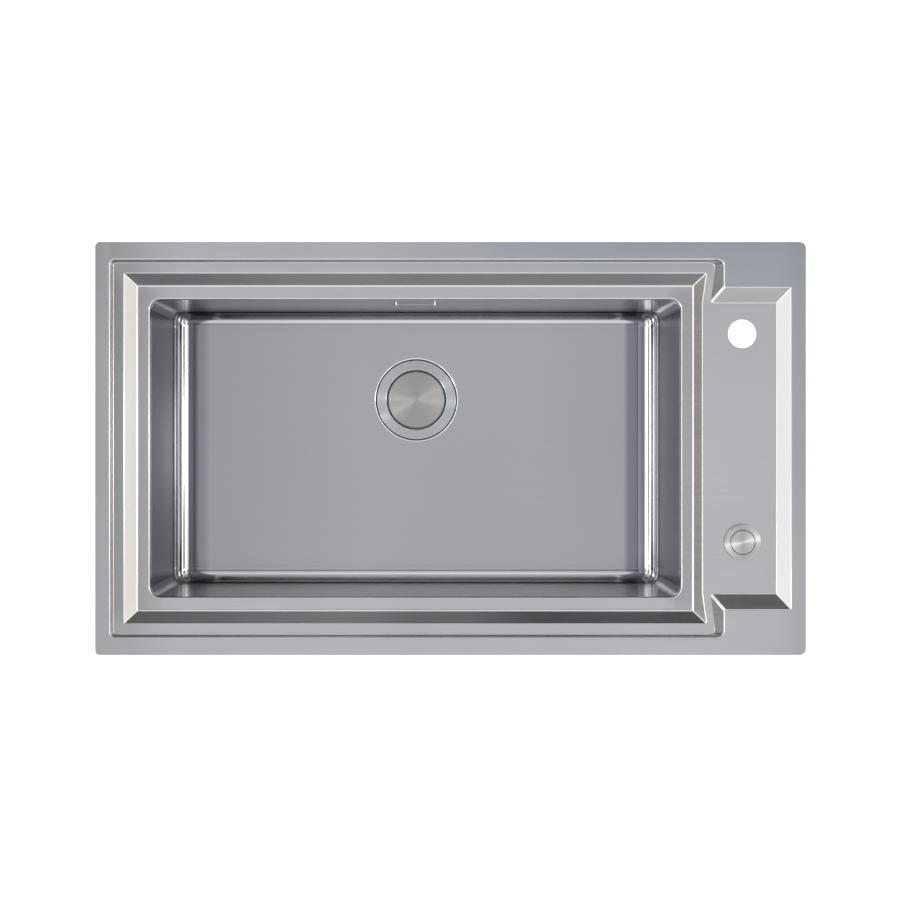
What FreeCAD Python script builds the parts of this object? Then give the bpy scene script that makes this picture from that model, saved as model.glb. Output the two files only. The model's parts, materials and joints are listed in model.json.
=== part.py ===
import FreeCAD, Part
import math
import os
import Sketcher

# Inset kitchen sink with a lowered tap deck, a pop-up waste worked by a push
# knob, and an overflow.  Millimetres.  +X is to the right seen from above,
# +Y to the wall side, +Z up.  The origin is the centre of the rim, on the
# worktop's top surface.  "Depth" below means depth under the rim's top face.

os.makedirs("parts", exist_ok=True)
V = FreeCAD.Vector
doc = FreeCAD.newDocument("kitchen_sink")
dims = doc.addObject("Spreadsheet::Sheet", "dims")

CELLS = [
    # pressed top
    ("rim_width", 860), ("rim_depth", 500), ("rim_left_corner_rad", 5.5), ("rim_right_corner_rad", 7.8),
    ("rim_top_z", 2), ("sheet_gauge", 1),
    ("step_x_left", 411), ("step_y_half", 227.3), ("step_corner_rad", 5),
    ("step_x_right_top", 331.8), ("step_x_right_low", 321.2),
    ("step_right_corner_rad", 6), ("step_top_rad", 3.8), ("step_toe_rad", 2),
    ("ledge_one_depth", 11), ("ledge_two_depth", 26),
    ("slope_x_left", 398), ("slope_x_right", 312), ("slope_y_half", 213.8),
    ("slope_rad", 6.5), ("tap_slope_rad", 3.5), ("brow_rad", 3.5), ("mitre_rad", 1.5),
    ("lip_z", -34), ("lip_rad", 3.5),
    # tap deck
    ("tap_deck_depth", 15), ("tap_top_x", 412.7), ("tap_floor_x", 397.3),
    ("tap_top_y", 195.4), ("tap_floor_y", 177.1), ("tap_start_x", 300),
    ("ramp_start_y", 211), ("nose_rad", 4.5),
    ("tap_hole_x", 356), ("tap_hole_y", 139.8), ("tap_hole_rad", 17.5),
    ("plate_gauge", 2), ("plate_x", 72), ("plate_y", 66),
    # bowl
    ("bowl_x_left", 368), ("bowl_x_right", 282.5), ("bowl_y_half", 182),
    ("bowl_corner_rad", 12), ("bowl_floor_rad", 20), ("bowl_floor_z", -218),
    # waste
    ("waste_x", -42.8), ("waste_y", 64.4), ("recess_rad", 54.6),
    ("recess_drop", 3), ("recess_edge_rad", 1.9), ("waste_hole_rad", 45.3), ("flange_rad", 53.2),
    ("neck_bore_rad", 40), ("neck_rad", 44), ("neck_end_z", -252),
    ("cup_rad", 43), ("cup_bore_rad", 40), ("seat_z", -262),
    ("chamber_floor_z", -305), ("outlet_rad", 23.9), ("outlet_bore_rad", 20),
    ("outlet_end_z", -342), ("inlet_z", -280),
    # strainer and plug
    ("cap_rad", 37.75), ("cap_top_z", -218.3), ("basket_rad", 39),
    ("basket_gauge", 0.8), ("basket_floor_z", -257),
    # lift gear: everything lies in the upright plane through waste and knob
    ("pin_rad", 2.5), ("pin_top_z", -263.9), ("pin_end_z", -280.5),
    ("rocker_x", 20), ("rocker_z", -283.6), ("rocker_drop", 15),
    ("nose_round", 3), ("pivot_rad", 2),
    # knob
    ("knob_x", 356), ("knob_y", -114.3), ("knob_hole_rad", 17.5),
    ("bezel_rad", 22.1), ("bezel_bore_rad", 15.15), ("button_rad", 14.5),
    ("knob_top_z", -8.2), ("housing_rad", 17), ("housing_end_z", -66),
    # cable
    ("cable_rad", 2.5), ("cable_bend_rad", 190), ("cable_start_z", -74),
    ("cable_end_x", 65), ("cable_z", -298.6),
    # overflow
    ("over_x", -42.8), ("over_z", -73), ("hose_rad", 12.5),
    ("hose_y", 203), ("hose_bend_rad", 70), ("hose_top_z", -104),
    # fixing clips
    ("rail_z", -10), ("rail_end_z", -26), ("pivot_z", -46),
    ("claw_len", 26), ("clip_width", 16),
]
for row, (alias, number) in enumerate(CELLS, 1):
    dims.set("A%d" % row, alias.replace("_", " "))
    dims.set("B%d" % row, "%g" % number)
    dims.setAlias("B%d" % row, alias)
doc.recompute()


class Q:
    """A size: its number now, and the same size as sheet text."""

    def __init__(self, v, t=None):
        self.v = float(v)
        self.t = t if t is not None else "%.6g" % v

    def __add__(self, o):
        o = q(o)
        return Q(self.v + o.v, "(%s + %s)" % (self.t, o.t))

    def __radd__(self, o):
        return q(o) + self

    def __sub__(self, o):
        o = q(o)
        return Q(self.v - o.v, "(%s - %s)" % (self.t, o.t))

    def __rsub__(self, o):
        return q(o) - self

    def __mul__(self, o):
        o = q(o)
        return Q(self.v * o.v, "(%s * %s)" % (self.t, o.t))

    def __rmul__(self, o):
        return q(o) * self

    def __truediv__(self, o):
        o = q(o)
        return Q(self.v / o.v, "(%s / %s)" % (self.t, o.t))

    def __neg__(self):
        return Q(-self.v, "(0 - %s)" % self.t)


def q(x):
    return x if isinstance(x, Q) else Q(x)


D = {alias: Q(number, "dims." + alias) for alias, number in CELLS}


def bind(obj, prop, size):
    obj.setExpression(prop, q(size).t)


def put(obj, at=(0, 0, 0), turn=0.0, axis=(0, 0, 1)):
    """Give an object its place; the turn is in degrees about the axis."""
    at = [q(a) for a in at]
    obj.Placement = FreeCAD.Placement(V(*[a.v for a in at]), FreeCAD.Rotation(V(*axis), turn))
    for letter, a in zip("xyz", at):
        if a.v or "dims" in a.t:
            bind(obj, "Placement.Base." + letter, a)


def body(label, at=(0, 0, 0), turn=0.0):
    b = doc.addObject("PartDesign::Body", label)
    b.Label = label
    put(b, at, turn)
    return b


def sketch(b, name, role, loops, lift=0):
    """A sketch on one of the body's own planes, every size bound."""
    sk = b.newObject("Sketcher::SketchObject", name)
    plane = [p for p in b.Origin.OriginFeatures if p.Role == role][0]
    sk.AttachmentSupport = (plane, [""])
    sk.MapMode = "FlatFace"
    if q(lift).v:
        bind(sk, "AttachmentOffset.Base.z", lift)
    geo, con, exp = [], [], []
    for loop in loops:
        if loop[0] == "circle":
            cx, cy, r = [q(a) for a in loop[1:]]
            g = len(geo)
            geo.append(Part.Circle(V(cx.v, cy.v, 0), V(0, 0, 1), r.v))
            for kind, a in (("DistanceX", cx), ("DistanceY", cy)):
                exp.append((len(con), a))
                con.append(Sketcher.Constraint(kind, -1, 1, g, 3, a.v))
            exp.append((len(con), r))
            con.append(Sketcher.Constraint("Radius", g, r.v))
            continue
        pts = [(q(x), q(y)) for x, y in loop]
        g0, n = len(geo), len(pts)
        for i in range(n):
            a, c = pts[i], pts[(i + 1) % n]
            geo.append(Part.LineSegment(V(a[0].v, a[1].v, 0), V(c[0].v, c[1].v, 0)))
        for i in range(n):
            con.append(Sketcher.Constraint("Coincident", g0 + i, 2, g0 + (i + 1) % n, 1))
        for i, (x, y) in enumerate(pts):
            exp.append((len(con), x))
            con.append(Sketcher.Constraint("DistanceX", -1, 1, g0 + i, 1, x.v))
            exp.append((len(con), y))
            con.append(Sketcher.Constraint("DistanceY", -1, 1, g0 + i, 1, y.v))
    sk.addGeometry(geo, False)
    sk.addConstraint(con)
    for k, a in exp:
        if "dims" in a.t:
            sk.setExpression("Constraints[%d]" % k, a.t)
    return sk


def rect(x0, x1, y0, y1):
    return [(x0, y0), (x1, y0), (x1, y1), (x0, y1)]


def count(b, kind):
    return "%s_%s_%d" % (b.Name, kind, len(b.Group))


def grow(b, kind, sk, size=None, reverse=False, mid=False, through=False):
    """Pad or Pocket of a sketch."""
    f = b.newObject("PartDesign::" + kind, count(b, kind))
    f.Profile = sk
    if through:
        f.Type = 1
    else:
        bind(f, "Length", size)
    f.Reversed = reverse
    if mid:
        if hasattr(f, "SideType"):
            f.SideType = "Symmetric"
        else:
            f.Midplane = True
    doc.recompute()
    return f


def pad(b, role, loops, size, lift=0, reverse=False, mid=False):
    return grow(b, "Pad", sketch(b, count(b, "sketch"), role, loops, lift), size, reverse, mid)


def cut(b, role, loops, size=None, lift=0, reverse=False, mid=False, through=False):
    before = b.Shape.Volume
    f = grow(b, "Pocket", sketch(b, count(b, "sketch"), role, loops, lift), size, reverse, mid, through)
    if b.Shape.Volume > before - 1e-3:
        raise RuntimeError("%s in %s cuts nothing" % (f.Name, b.Label))
    return f


def turn(b, pts, kind="Revolution", more=()):
    """Turn a half profile (radius, height) about the body's own Z axis."""
    sk = sketch(b, count(b, "sketch"), "XZ_Plane", [pts] + list(more))
    f = b.newObject("PartDesign::" + kind, count(b, kind))
    f.Profile = sk
    f.ReferenceAxis = (sk, ["V_Axis"])
    f.Angle = 360
    doc.recompute()
    return f


def polar(b, feature, sk, times):
    p = b.newObject("PartDesign::PolarPattern", count(b, "polar"))
    p.Originals = [feature]
    p.Axis = (sk, ["N_Axis"])
    p.Angle = 360
    p.Occurrences = times
    b.Tip = p
    doc.recompute()
    return p


def soften(b, rad, test, kind="Fillet"):
    """Round or bevel the edges of the body's tip that the test picks."""
    base = b.Tip
    names = ["Edge%d" % (i + 1) for i, e in enumerate(base.Shape.Edges) if test(e)]
    if not names:
        raise RuntimeError("no edge to soften in %s" % b.Label)
    f = b.newObject("PartDesign::" + kind, count(b, kind))
    f.Base = (base, names)
    bind(f, "Radius" if kind == "Fillet" else "Size", rad)
    b.Tip = f
    doc.recompute()
    return f


def flat(e):
    return e.BoundBox.ZLength < 1e-3


def at_z(e, z, tol=0.05):
    return flat(e) and abs(e.BoundBox.Center.z - q(z).v) < tol


def prim(kind, label, at=(0, 0, 0), turn=0.0, axis=(0, 0, 1), **sizes):
    o = doc.addObject("Part::" + kind, label)
    for name, size in sizes.items():
        bind(o, name, size)
    put(o, at, turn, axis)
    return o


def boolean(kind, label, *objects):
    o = doc.addObject("Part::" + kind, label)
    if kind in ("MultiFuse", "MultiCommon", "Compound"):
        if kind == "Compound":
            o.Links = list(objects)
        else:
            o.Shapes = list(objects)
    else:
        o.Base, o.Tool = objects
    if hasattr(o, "Refine"):
        o.Refine = True
    doc.recompute()
    return o


def fields(label, whole, regions):
    """One node made of the whole's parts inside upright blocks that tile it.  Each
    region is (x0, x1, y0, y1) or (x0, x1, y0, y1, z0, z1)."""
    parts = []
    for k, r in enumerate(regions, 1):
        r = [q(a) for a in r]
        if len(r) == 4:
            r += [q(-60), q(20)]
        block = prim("Box", "%s_block_%d" % (label, k), at=(r[0], r[2], r[4]),
                     Length=r[1] - r[0], Width=r[3] - r[2], Height=r[5] - r[4])
        parts.append(boolean("Common", "%s_field_%d" % (label, k), whole, block))
    return parts


def check_fields(whole, parts):
    total = sum(p.Shape.Volume for p in parts)
    if abs(total - whole.Shape.Volume) > 1e-4 * whole.Shape.Volume:
        raise RuntimeError("the fields of %s hold %.1f of %.1f mm3" % (whole.Label, total, whole.Shape.Volume))
    for p in parts:
        print(p.Label, "solids", len(p.Shape.Solids), "vol %.0f" % p.Shape.Volume)


NODES = {}


def node(name, obj):
    """Name a finished sub-part."""
    if obj.Label != name:
        obj.Label = name
    NODES[name] = obj
    return obj


# ---------------------------------------------------------------- pressed top
# The space above the sheet is modelled as a form, once for the sheet's upper
# face and once a gauge further out for its lower face.  The sheet is what lies
# between the two, inside the rim's outline.

def wedge(label, low_z, low, high_z, high):
    """A block between two level rectangles (x0, x1, half y)."""
    return prim("Wedge", label, axis=(1, 0, 0), turn=90,
                Ymin=low_z, Xmin=low[0], Xmax=low[1], Zmin=-low[2], Zmax=low[2],
                Ymax=high_z, X2min=high[0], X2max=high[1], Z2min=-high[2], Z2max=high[2])


def recess_form(tag, off):
    zt = D["rim_top_z"] - off
    k45, kwall, ktx, kty = 0.4142 * off, 0.4256 * off, 0.4067 * off, 0.3575 * off
    one, two, tap = D["ledge_one_depth"], D["ledge_two_depth"], D["tap_deck_depth"]
    z1, z2, zp = zt - one, zt - two, zt - tap
    x_top, x_low = D["step_x_right_top"] + kwall, D["step_x_right_low"] + kwall
    x_deep = x_low - (D["step_x_right_top"] - D["step_x_right_low"]) * (tap - one) / one
    left, yh = -(D["step_x_left"] + off), D["step_y_half"] + off
    fall = two - one
    sl, sr, sy = -(D["slope_x_left"] + k45), D["slope_x_right"] + k45, D["slope_y_half"] + k45
    start = D["tap_start_x"]
    ty, tyt = D["tap_floor_y"] + kty, D["tap_top_y"] + kty
    step = wedge(tag + "_step", z1, (left, x_low, yh), zt, (left, x_top, yh))
    ramp = wedge(tag + "_ramp", zp, (start, x_deep, ty), z1, (start, x_low, D["ramp_start_y"]))
    slope = wedge(tag + "_slope", z2, (sl + fall, sr - fall, sy - fall), z1, (sl, sr, sy))
    tapd = wedge(tag + "_tap", zp, (start, D["tap_floor_x"] + ktx, ty), zt, (start, D["tap_top_x"] + ktx, tyt))
    opening = prim("Box", tag + "_opening",
                   at=(-(D["bowl_x_left"] + off), -(D["bowl_y_half"] + off), -70),
                   Length=D["bowl_x_left"] + D["bowl_x_right"] + 2 * off,
                   Width=2 * D["bowl_y_half"] + 2 * off, Height=z2 + 70)
    above = prim("Box", tag + "_above", at=(-600, -400, zt), Length=1200, Width=800, Height=40)
    fused = boolean("MultiFuse", tag + "_planes", above, step, ramp, slope, tapd, opening)
    b = doc.addObject("PartDesign::Body", tag)
    b.Label = tag
    b.BaseFeature = fused
    doc.recompute()

    def pick(test):
        def inner(e):
            bb = e.BoundBox
            c = bb.Center
            if abs(c.x) > 500 or abs(c.y) > 300 or c.z > 10:
                return False
            return test(bb, c, zt.v - c.z, bb.ZLength < 1e-3)
        return inner

    o = off.v
    near = lambda a, c, tol=0.4: abs(a - c) < tol
    soften(b, D["bowl_corner_rad"] + off, pick(lambda bb, c, h, f: 30 < h < 60 and not f))
    soften(b, D["step_corner_rad"] + off, pick(lambda bb, c, h, f: near(h, 5.5) and c.x < 0 and not f))
    soften(b, D["step_right_corner_rad"] + off,
           pick(lambda bb, c, h, f: near(h, 5.5) and c.x > 0 and abs(c.y) > 220 and not f))
    # the convex corners of the rim beside the tap deck
    soften(b, D["nose_rad"] - off,
           pick(lambda bb, c, h, f: not f and 320 < c.x < 330 and abs(c.y) < 200 and bb.YLength < 25 and h < 10))
    soften(b, D["slope_rad"] + off,
           pick(lambda bb, c, h, f: f and near(h, 26) and (abs(c.y) > 190 or c.x < -378 or c.x > 290)))
    soften(b, D["tap_slope_rad"] + off, pick(lambda bb, c, h, f: f and near(h, 15) and c.x > 330))
    soften(b, D["mitre_rad"] + off,
           pick(lambda bb, c, h, f: not f and 14 < h < 24 and bb.ZLength > 10 and abs(c.y) > 200))
    soften(b, D["mitre_rad"] + off,
           pick(lambda bb, c, h, f: not f and 4 < h < 10 and c.x > 395 and bb.ZLength > 8 and bb.XLength > 5))
    soften(b, D["lip_rad"] - off,
           pick(lambda bb, c, h, f: f and near(h, 26) and abs(c.y) < 184 and -369 - o < c.x < 284 + o))
    soften(b, D["step_top_rad"] - off, pick(lambda bb, c, h, f: f and near(h, 0)))
    soften(b, D["step_toe_rad"] + off,
           pick(lambda bb, c, h, f: f and near(h, 11) and (c.x < -405 or abs(c.y) > 225 or c.x > 320)))
    soften(b, D["brow_rad"] - off,
           pick(lambda bb, c, h, f: 10.5 < h < 15.5 and (
               near(c.x, -398 - 0.414 * o, 1) or (near(abs(c.y), 213.8 + 0.414 * o, 1) and c.x < 315)
               or (307 < c.x < 313.5 and bb.XLength < 5 and abs(c.y) < 214.9))))
    return b


form_top = recess_form("form_upper_face", Q(0))
form_low = recess_form("form_lower_face", D["sheet_gauge"])

outline = body("rim_outline")
pad(outline, "XY_Plane", [rect(-D["rim_width"] / 2, D["rim_width"] / 2, -D["rim_depth"] / 2, D["rim_depth"] / 2)],
    D["rim_top_z"] - D["lip_z"], lift=D["lip_z"])
soften(outline, D["rim_left_corner_rad"], lambda e: not flat(e) and e.BoundBox.Center.x < 0)
soften(outline, D["rim_right_corner_rad"], lambda e: not flat(e) and e.BoundBox.Center.x > 0)
thick_top = boolean("Common", "top_block", outline, form_low)
top_sheet = boolean("Cut", "top_sheet", thick_top, form_top)
punches = boolean("MultiFuse", "tap_punches",
                  prim("Cylinder", "tap_punch", at=(D["tap_hole_x"], D["tap_hole_y"], -20), Radius=D["tap_hole_rad"], Height=20),
                  prim("Cylinder", "knob_punch", at=(D["knob_x"], D["knob_y"], -20), Radius=D["knob_hole_rad"], Height=20))
deck_whole = boolean("Cut", "deck_whole", top_sheet, punches)

# The sheet is written as its flat fields, steps, slopes and lip side by side,
# so that each is a plain solid.  The cuts lie just outside the bends.
XO, YO = D["rim_width"] / 2 + 1, D["rim_depth"] / 2 + 1
X1, X2 = -(D["step_x_left"] + 4.2), -(D["step_x_left"] - 2.4)
X3, X4, X5 = -(D["slope_x_left"] + 2.3), -(D["slope_x_left"] - 18.1), -(D["bowl_x_left"] + 3.8)
X6, X7, X8 = D["bowl_x_right"] + 3.8, D["slope_x_right"] - 18.1, D["slope_x_right"] + 2.3
X9, X10, X11 = D["step_x_right_top"] + 2.7, D["tap_floor_x"] - 2.3, D["tap_top_x"] + 2
Y1, Y2, Y3 = D["step_y_half"] + 4.1, D["step_y_half"] - 2.3, D["slope_y_half"] + 2.3
Y4, Y5 = D["slope_y_half"] - 18.1, D["bowl_y_half"] + 3.8
Y6, Y7, Y8 = D["tap_top_y"] - 5.4, D["tap_floor_y"] - 2.3, D["tap_top_y"] + 2.2
CX0, CX1, CY = -(D["bowl_x_left"] - 11.7), D["bowl_x_right"] - 11.7, D["bowl_y_half"] - 11.7
IX0, IX1, IY = -(D["bowl_x_left"] - 2), D["bowl_x_right"] - 2.5, D["bowl_y_half"] - 2
REGIONS = [(-XO, X1, -Y1, Y1), (X11, XO, -Y1, Y1),
           (X1, X2, -Y2, Y2), (X2, X3, -Y3, Y3),
           (X3, X4, -Y4, Y4), (X7, X8, -Y4, Y4),
           (X4, X5, -Y5, Y5), (X6, X7, -Y5, Y5),
           (X5, IX0, -CY, CY), (IX1, X6, -CY, CY),
           (X8, X9, -Y7, Y7), (X10, X11, -Y7, Y7),
           (X9, X10, -Y7, -D["tap_hole_y"] + 65), (X9, X10, -D["tap_hole_y"] + 65, D["tap_hole_y"] - 40),
           (X9, X10, D["tap_hole_y"] - 40, Y7)]
for span in (lambda a, b: (-b, -a), lambda a, b: (a, b)):
    REGIONS += [(-XO, XO) + span(Y1, YO), (X9, X11) + span(Y8, Y1), (X1, X9) + span(Y2, Y1),
                (X2, X8) + span(Y3, Y2), (X3, X8) + span(Y4, Y3), (X4, X7) + span(Y5, Y4),
                (CX0, CX1) + span(IY, Y5), (X5, CX0) + span(CY, Y5), (CX1, X6) + span(CY, Y5),
                (X8, X9) + span(Y6, Y2), (X8, X9) + span(Y7, Y6), (X9, X11) + span(Y7, Y8)]
deck_fields = fields("deck", deck_whole, REGIONS)
check_fields(deck_whole, deck_fields)
node("deck", boolean("Compound", "deck", *deck_fields))

# ---------------------------------------------------------------------- bowl
G = D["sheet_gauge"]


def bowl_form(tag, off):
    b = body(tag)
    zf = D["bowl_floor_z"] - off
    pad(b, "XY_Plane", [rect(-(D["bowl_x_left"] + off), D["bowl_x_right"] + off,
                             -(D["bowl_y_half"] + off), D["bowl_y_half"] + off)],
        D["lip_z"] - zf, lift=zf)
    soften(b, D["bowl_corner_rad"] + off, lambda e: not flat(e))
    soften(b, D["bowl_floor_rad"] + off, lambda e: at_z(e, zf))
    # round recess that takes the waste flange
    if off.v:
        pad(b, "XY_Plane", [("circle", D["waste_x"], D["waste_y"], D["recess_rad"] + off)],
            D["recess_drop"] + 5, lift=zf - D["recess_drop"])
    else:
        pad(b, "XY_Plane", [("circle", D["waste_x"], D["waste_y"], D["recess_rad"])],
            D["recess_drop"] + 5, lift=zf - D["recess_drop"])
        soften(b, D["recess_edge_rad"], lambda e: at_z(e, zf) and abs(e.BoundBox.XLength - 2 * D["recess_rad"].v) < 1)
    return b


bowl_in = bowl_form("bowl_inside", Q(0))
bowl_out = bowl_form("bowl_outside", G)
bowl_shell = boolean("Cut", "bowl_shell", bowl_out, bowl_in)
over_punch = prim("Box", "overflow_punch", at=(D["over_x"] - 17, D["bowl_y_half"] - 5, D["over_z"] - 6.5),
                  Length=34, Width=12, Height=13)
waste_punch = prim("Cylinder", "waste_punch", at=(D["waste_x"], D["waste_y"], -230), Radius=D["waste_hole_rad"], Height=20)
screw_punches = [prim("Cylinder", "screw_punch", at=(D["over_x"] + x, D["bowl_y_half"] - 5, D["over_z"]), turn=-90,
                      axis=(1, 0, 0), Radius=1.5, Height=12) for x in (-23.1, 23.1)]
bowl_whole = boolean("Cut", "bowl_whole", bowl_shell,
                     boolean("MultiFuse", "bowl_punches", over_punch, waste_punch, *screw_punches))

# The bowl is written the same way: its walls, upright corners, floor edges,
# floor and the ring round the waste.
BX0, BX1, BY = -(D["bowl_x_left"] + 2), D["bowl_x_right"] + 2, D["bowl_y_half"] + 2
KX0, KX1, KY = -(D["bowl_x_left"] - 12.3), D["bowl_x_right"] - 12.3, D["bowl_y_half"] - 12.3
FX0, FX1, FY = -(D["bowl_x_left"] - 20.5), D["bowl_x_right"] - 20.5, D["bowl_y_half"] - 20.5
ZT, ZM, ZB = D["lip_z"] + 1, D["bowl_floor_z"] + 20.2, D["bowl_floor_z"] - 6
PX0, PX1 = D["over_x"] - 17, D["over_x"] + 17
PZ0, PZ1 = D["over_z"] - 6.5, D["over_z"] + 6.5
SX0, SX1, SY0, SY1 = D["waste_x"] - 61, D["waste_x"] + 61, D["waste_y"] - 61, D["waste_y"] + 61
bowl_fields = fields("bowl", bowl_whole, [
    (KX0, KX1, -BY, -KY, ZM, ZT), (BX0, KX0, -KY, KY, ZM, ZT), (KX1, BX1, -KY, KY, ZM, ZT),
    (KX0, PX0, KY, BY, ZM, ZT), (PX1, KX1, KY, BY, ZM, ZT), (PX0, PX1, KY, BY, PZ1, ZT), (PX0, PX1, KY, BY, ZM, PZ0),
    (BX0, KX0, -BY, -KY, ZM, ZT), (KX1, BX1, -BY, -KY, ZM, ZT), (BX0, KX0, KY, BY, ZM, ZT), (KX1, BX1, KY, BY, ZM, ZT),
    (FX0, FX1, -BY, -FY, ZB, ZM), (FX0, FX1, FY, BY, ZB, ZM), (BX0, FX0, -FY, FY, ZB, ZM), (FX1, BX1, -FY, FY, ZB, ZM),
    (BX0, FX0, -BY, -FY, ZB, ZM), (FX1, BX1, -BY, -FY, ZB, ZM), (BX0, FX0, FY, BY, ZB, ZM), (FX1, BX1, FY, BY, ZB, ZM),
    (FX0, SX0, -FY, FY, ZB, ZM), (SX1, FX1, -FY, FY, ZB, ZM), (SX0, SX1, -FY, SY0, ZB, ZM), (SX0, SX1, SY1, FY, ZB, ZM)])
waste_square = prim("Box", "waste_square", at=(SX0, SY0, ZB), Length=SX1 - SX0, Width=SY1 - SY0, Height=ZM - ZB)
waste_ring = boolean("Common", "waste_ring", bowl_whole, waste_square)
for k in range(8):
    slice_ = prim("Cylinder", "waste_slice_%d" % k, at=(D["waste_x"], D["waste_y"], ZB), turn=45.0 * k,
                  Radius=100, Height=ZM - ZB, Angle=45)
    bowl_fields.append(boolean("Common", "waste_field_%d" % k, waste_ring, slice_))
check_fields(bowl_whole, bowl_fields)
node("bowl", boolean("Compound", "bowl", *bowl_fields))

# ------------------------------------------------------ under the pressed top
tape = body("sealing_tape")
pad(tape, "XY_Plane", [rect(-428.5, 428.5, -248.5, 248.5), rect(-421, 421, -241, 241)], 1)
soften(tape, 10.5, lambda e: not flat(e) and abs(e.BoundBox.Center.x) > 428)
node("sealing_tape", tape)

plate = body("tap_hole_plate", at=(D["tap_hole_x"], D["tap_hole_y"], 0))
zu = D["rim_top_z"] - D["tap_deck_depth"] - G
pad(plate, "XY_Plane", [rect(-D["plate_x"] / 2, D["plate_x"] / 2, -D["plate_y"] / 2, D["plate_y"] / 2)],
    D["plate_gauge"], lift=zu, reverse=True)
cut(plate, "XY_Plane", [("circle", 0, 0, D["tap_hole_rad"])], 10, lift=zu + 2)
soften(plate, 5, lambda e: not flat(e) and abs(abs(e.BoundBox.Center.x) - 36) < 0.1)
node("tap_hole_plate", plate)

# Angle rails stuck under the first ledge; the clips hang on their upright legs.
# A rail is drawn along X with its outer face on the local Y = 0 plane.
WALL_Y = D["step_y_half"] + G
WALL_X = D["step_x_left"] + G
RAIL_SECTION = [(0, D["rail_z"]), (0, D["rail_end_z"]), (1.5, D["rail_end_z"]), (1.5, D["rail_z"] - 1.5),
                (9.5, D["rail_z"] - 1.5), (9.5, D["rail_z"])]


def rail(label, length, at, turn_by):
    b = body(label, at=at, turn=turn_by)
    pad(b, "YZ_Plane", [RAIL_SECTION], length, mid=True)
    return b


rails = [rail("rail_front", 640, (-40, -(WALL_Y - 3.2), 0), 0),
         rail("rail_rear", 640, (-40, WALL_Y - 3.2, 0), 180),
         rail("rail_left", 340, (-(WALL_X - 3.2), 0, 0), -90)]
node("clip_rails", boolean("Compound", "clip_rails", *rails))

# -------------------------------------------------------------- fixing clips
# Each clip: a bracket that straddles the rail's leg and carries two ears, a
# pivot pin, a claw that hangs from it, and the screw in the claw.  Local +Y
# points into the bowl side, local -Y to the worktop.
CLIPS = [("front", -300, -1), ("front", -40, -1), ("front", 220, -1),
         ("rear", -300, 1), ("rear", 40, 1), ("rear", 220, 1),
         ("left", -90, 0), ("left", 90, 0)]


def clip_place(side, along):
    if side == "front":
        return (along, -(WALL_Y - 3.2), 0), 0
    if side == "rear":
        return (along, WALL_Y - 3.2, 0), 180
    return (-(WALL_X - 3.2), along, 0), -90


W = D["clip_width"]
brackets, pins = [], []
for k, (side, along, sign) in enumerate(CLIPS, 1):
    at, by = clip_place(side, along)
    b = body("bracket_%d" % k, at=at, turn=by)
    # strap: down the outside of the leg, under it, up its inner side
    pad(b, "YZ_Plane", [[(0, -14), (-1.5, -14), (-1.5, -28), (3.4, -28), (3.4, -16), (1.9, -16),
                         (1.9, D["rail_end_z"]), (0, D["rail_end_z"])]], W, mid=True)
    # two ears below, with the pivot holes
    pad(b, "YZ_Plane", [[(-1.5, -28), (-1.5, -49), (8.3, -49), (8.3, -34), (3.4, -28)]], W, mid=True)
    cut(b, "YZ_Plane", [[(-4, -28.0 - 1.5), (-4, -52), (12, -52), (12, -28.0 - 1.5)]], W - 3, mid=True)
    cut(b, "YZ_Plane", [("circle", 2.3, D["pivot_z"], 2.0)], W + 2, mid=True)
    brackets.append(b)
    p = body("pin_%d" % k, at=at, turn=by)
    pad(p, "YZ_Plane", [("circle", 2.3, D["pivot_z"], 2.0)], W + 1.6, mid=True)
    pins.append(p)
node("clip_brackets", boolean("Compound", "clip_brackets", *brackets))
node("clip_pivot_pins", boolean("Compound", "clip_pivot_pins", *pins))

for k, (side, along, sign) in enumerate(CLIPS, 1):
    at, by = clip_place(side, along)
    name = "clip_claw_%d" % k
    b = body(name, at=at, turn=by)
    zp = D["pivot_z"]
    # channel-shaped claw, hanging: web on the bowl side, two cheeks
    length = D["claw_len"]
    pad(b, "YZ_Plane", [[(-0.7, zp + 3), (5.3, zp + 3), (5.3, zp - length - 5), (-0.7, zp - length - 5),
                         (-2.2, zp - length - 3.5), (-0.7, zp - length - 2), (-2.2, zp - length + 0.2), (-0.7, zp - length + 1.7)]],
        W - 3.6, mid=True)
    cut(b, "YZ_Plane", [[(-6, zp + 6), (3.8, zp + 6), (3.8, zp - length + 9), (-6, zp - length + 9)]], W - 6.6, mid=True)
    cut(b, "YZ_Plane", [("circle", 2.3, zp, 2.05)], W, mid=True)
    cut(b, "XZ_Plane", [("circle", 0, zp - length + 2, 2.5)], 20, mid=True)
    node(name, b)

    name = "clip_screw_%d" % k
    b = body(name, at=at, turn=by)
    s = sketch(b, "shank", "XZ_Plane", [("circle", 0, zp - length + 2, 2.5)], lift=-9)
    grow(b, "Pad", s, 14)
    s = sketch(b, "head", "XZ_Plane", [("circle", 0, zp - length + 2, 4.5)], lift=-12)
    grow(b, "Pad", s, 3)
    cut(b, "XZ_Plane", [rect(-0.6, 0.6, zp - length - 4, zp - length + 8)], 1.4, lift=-12, reverse=True)
    node(name, b)

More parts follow.
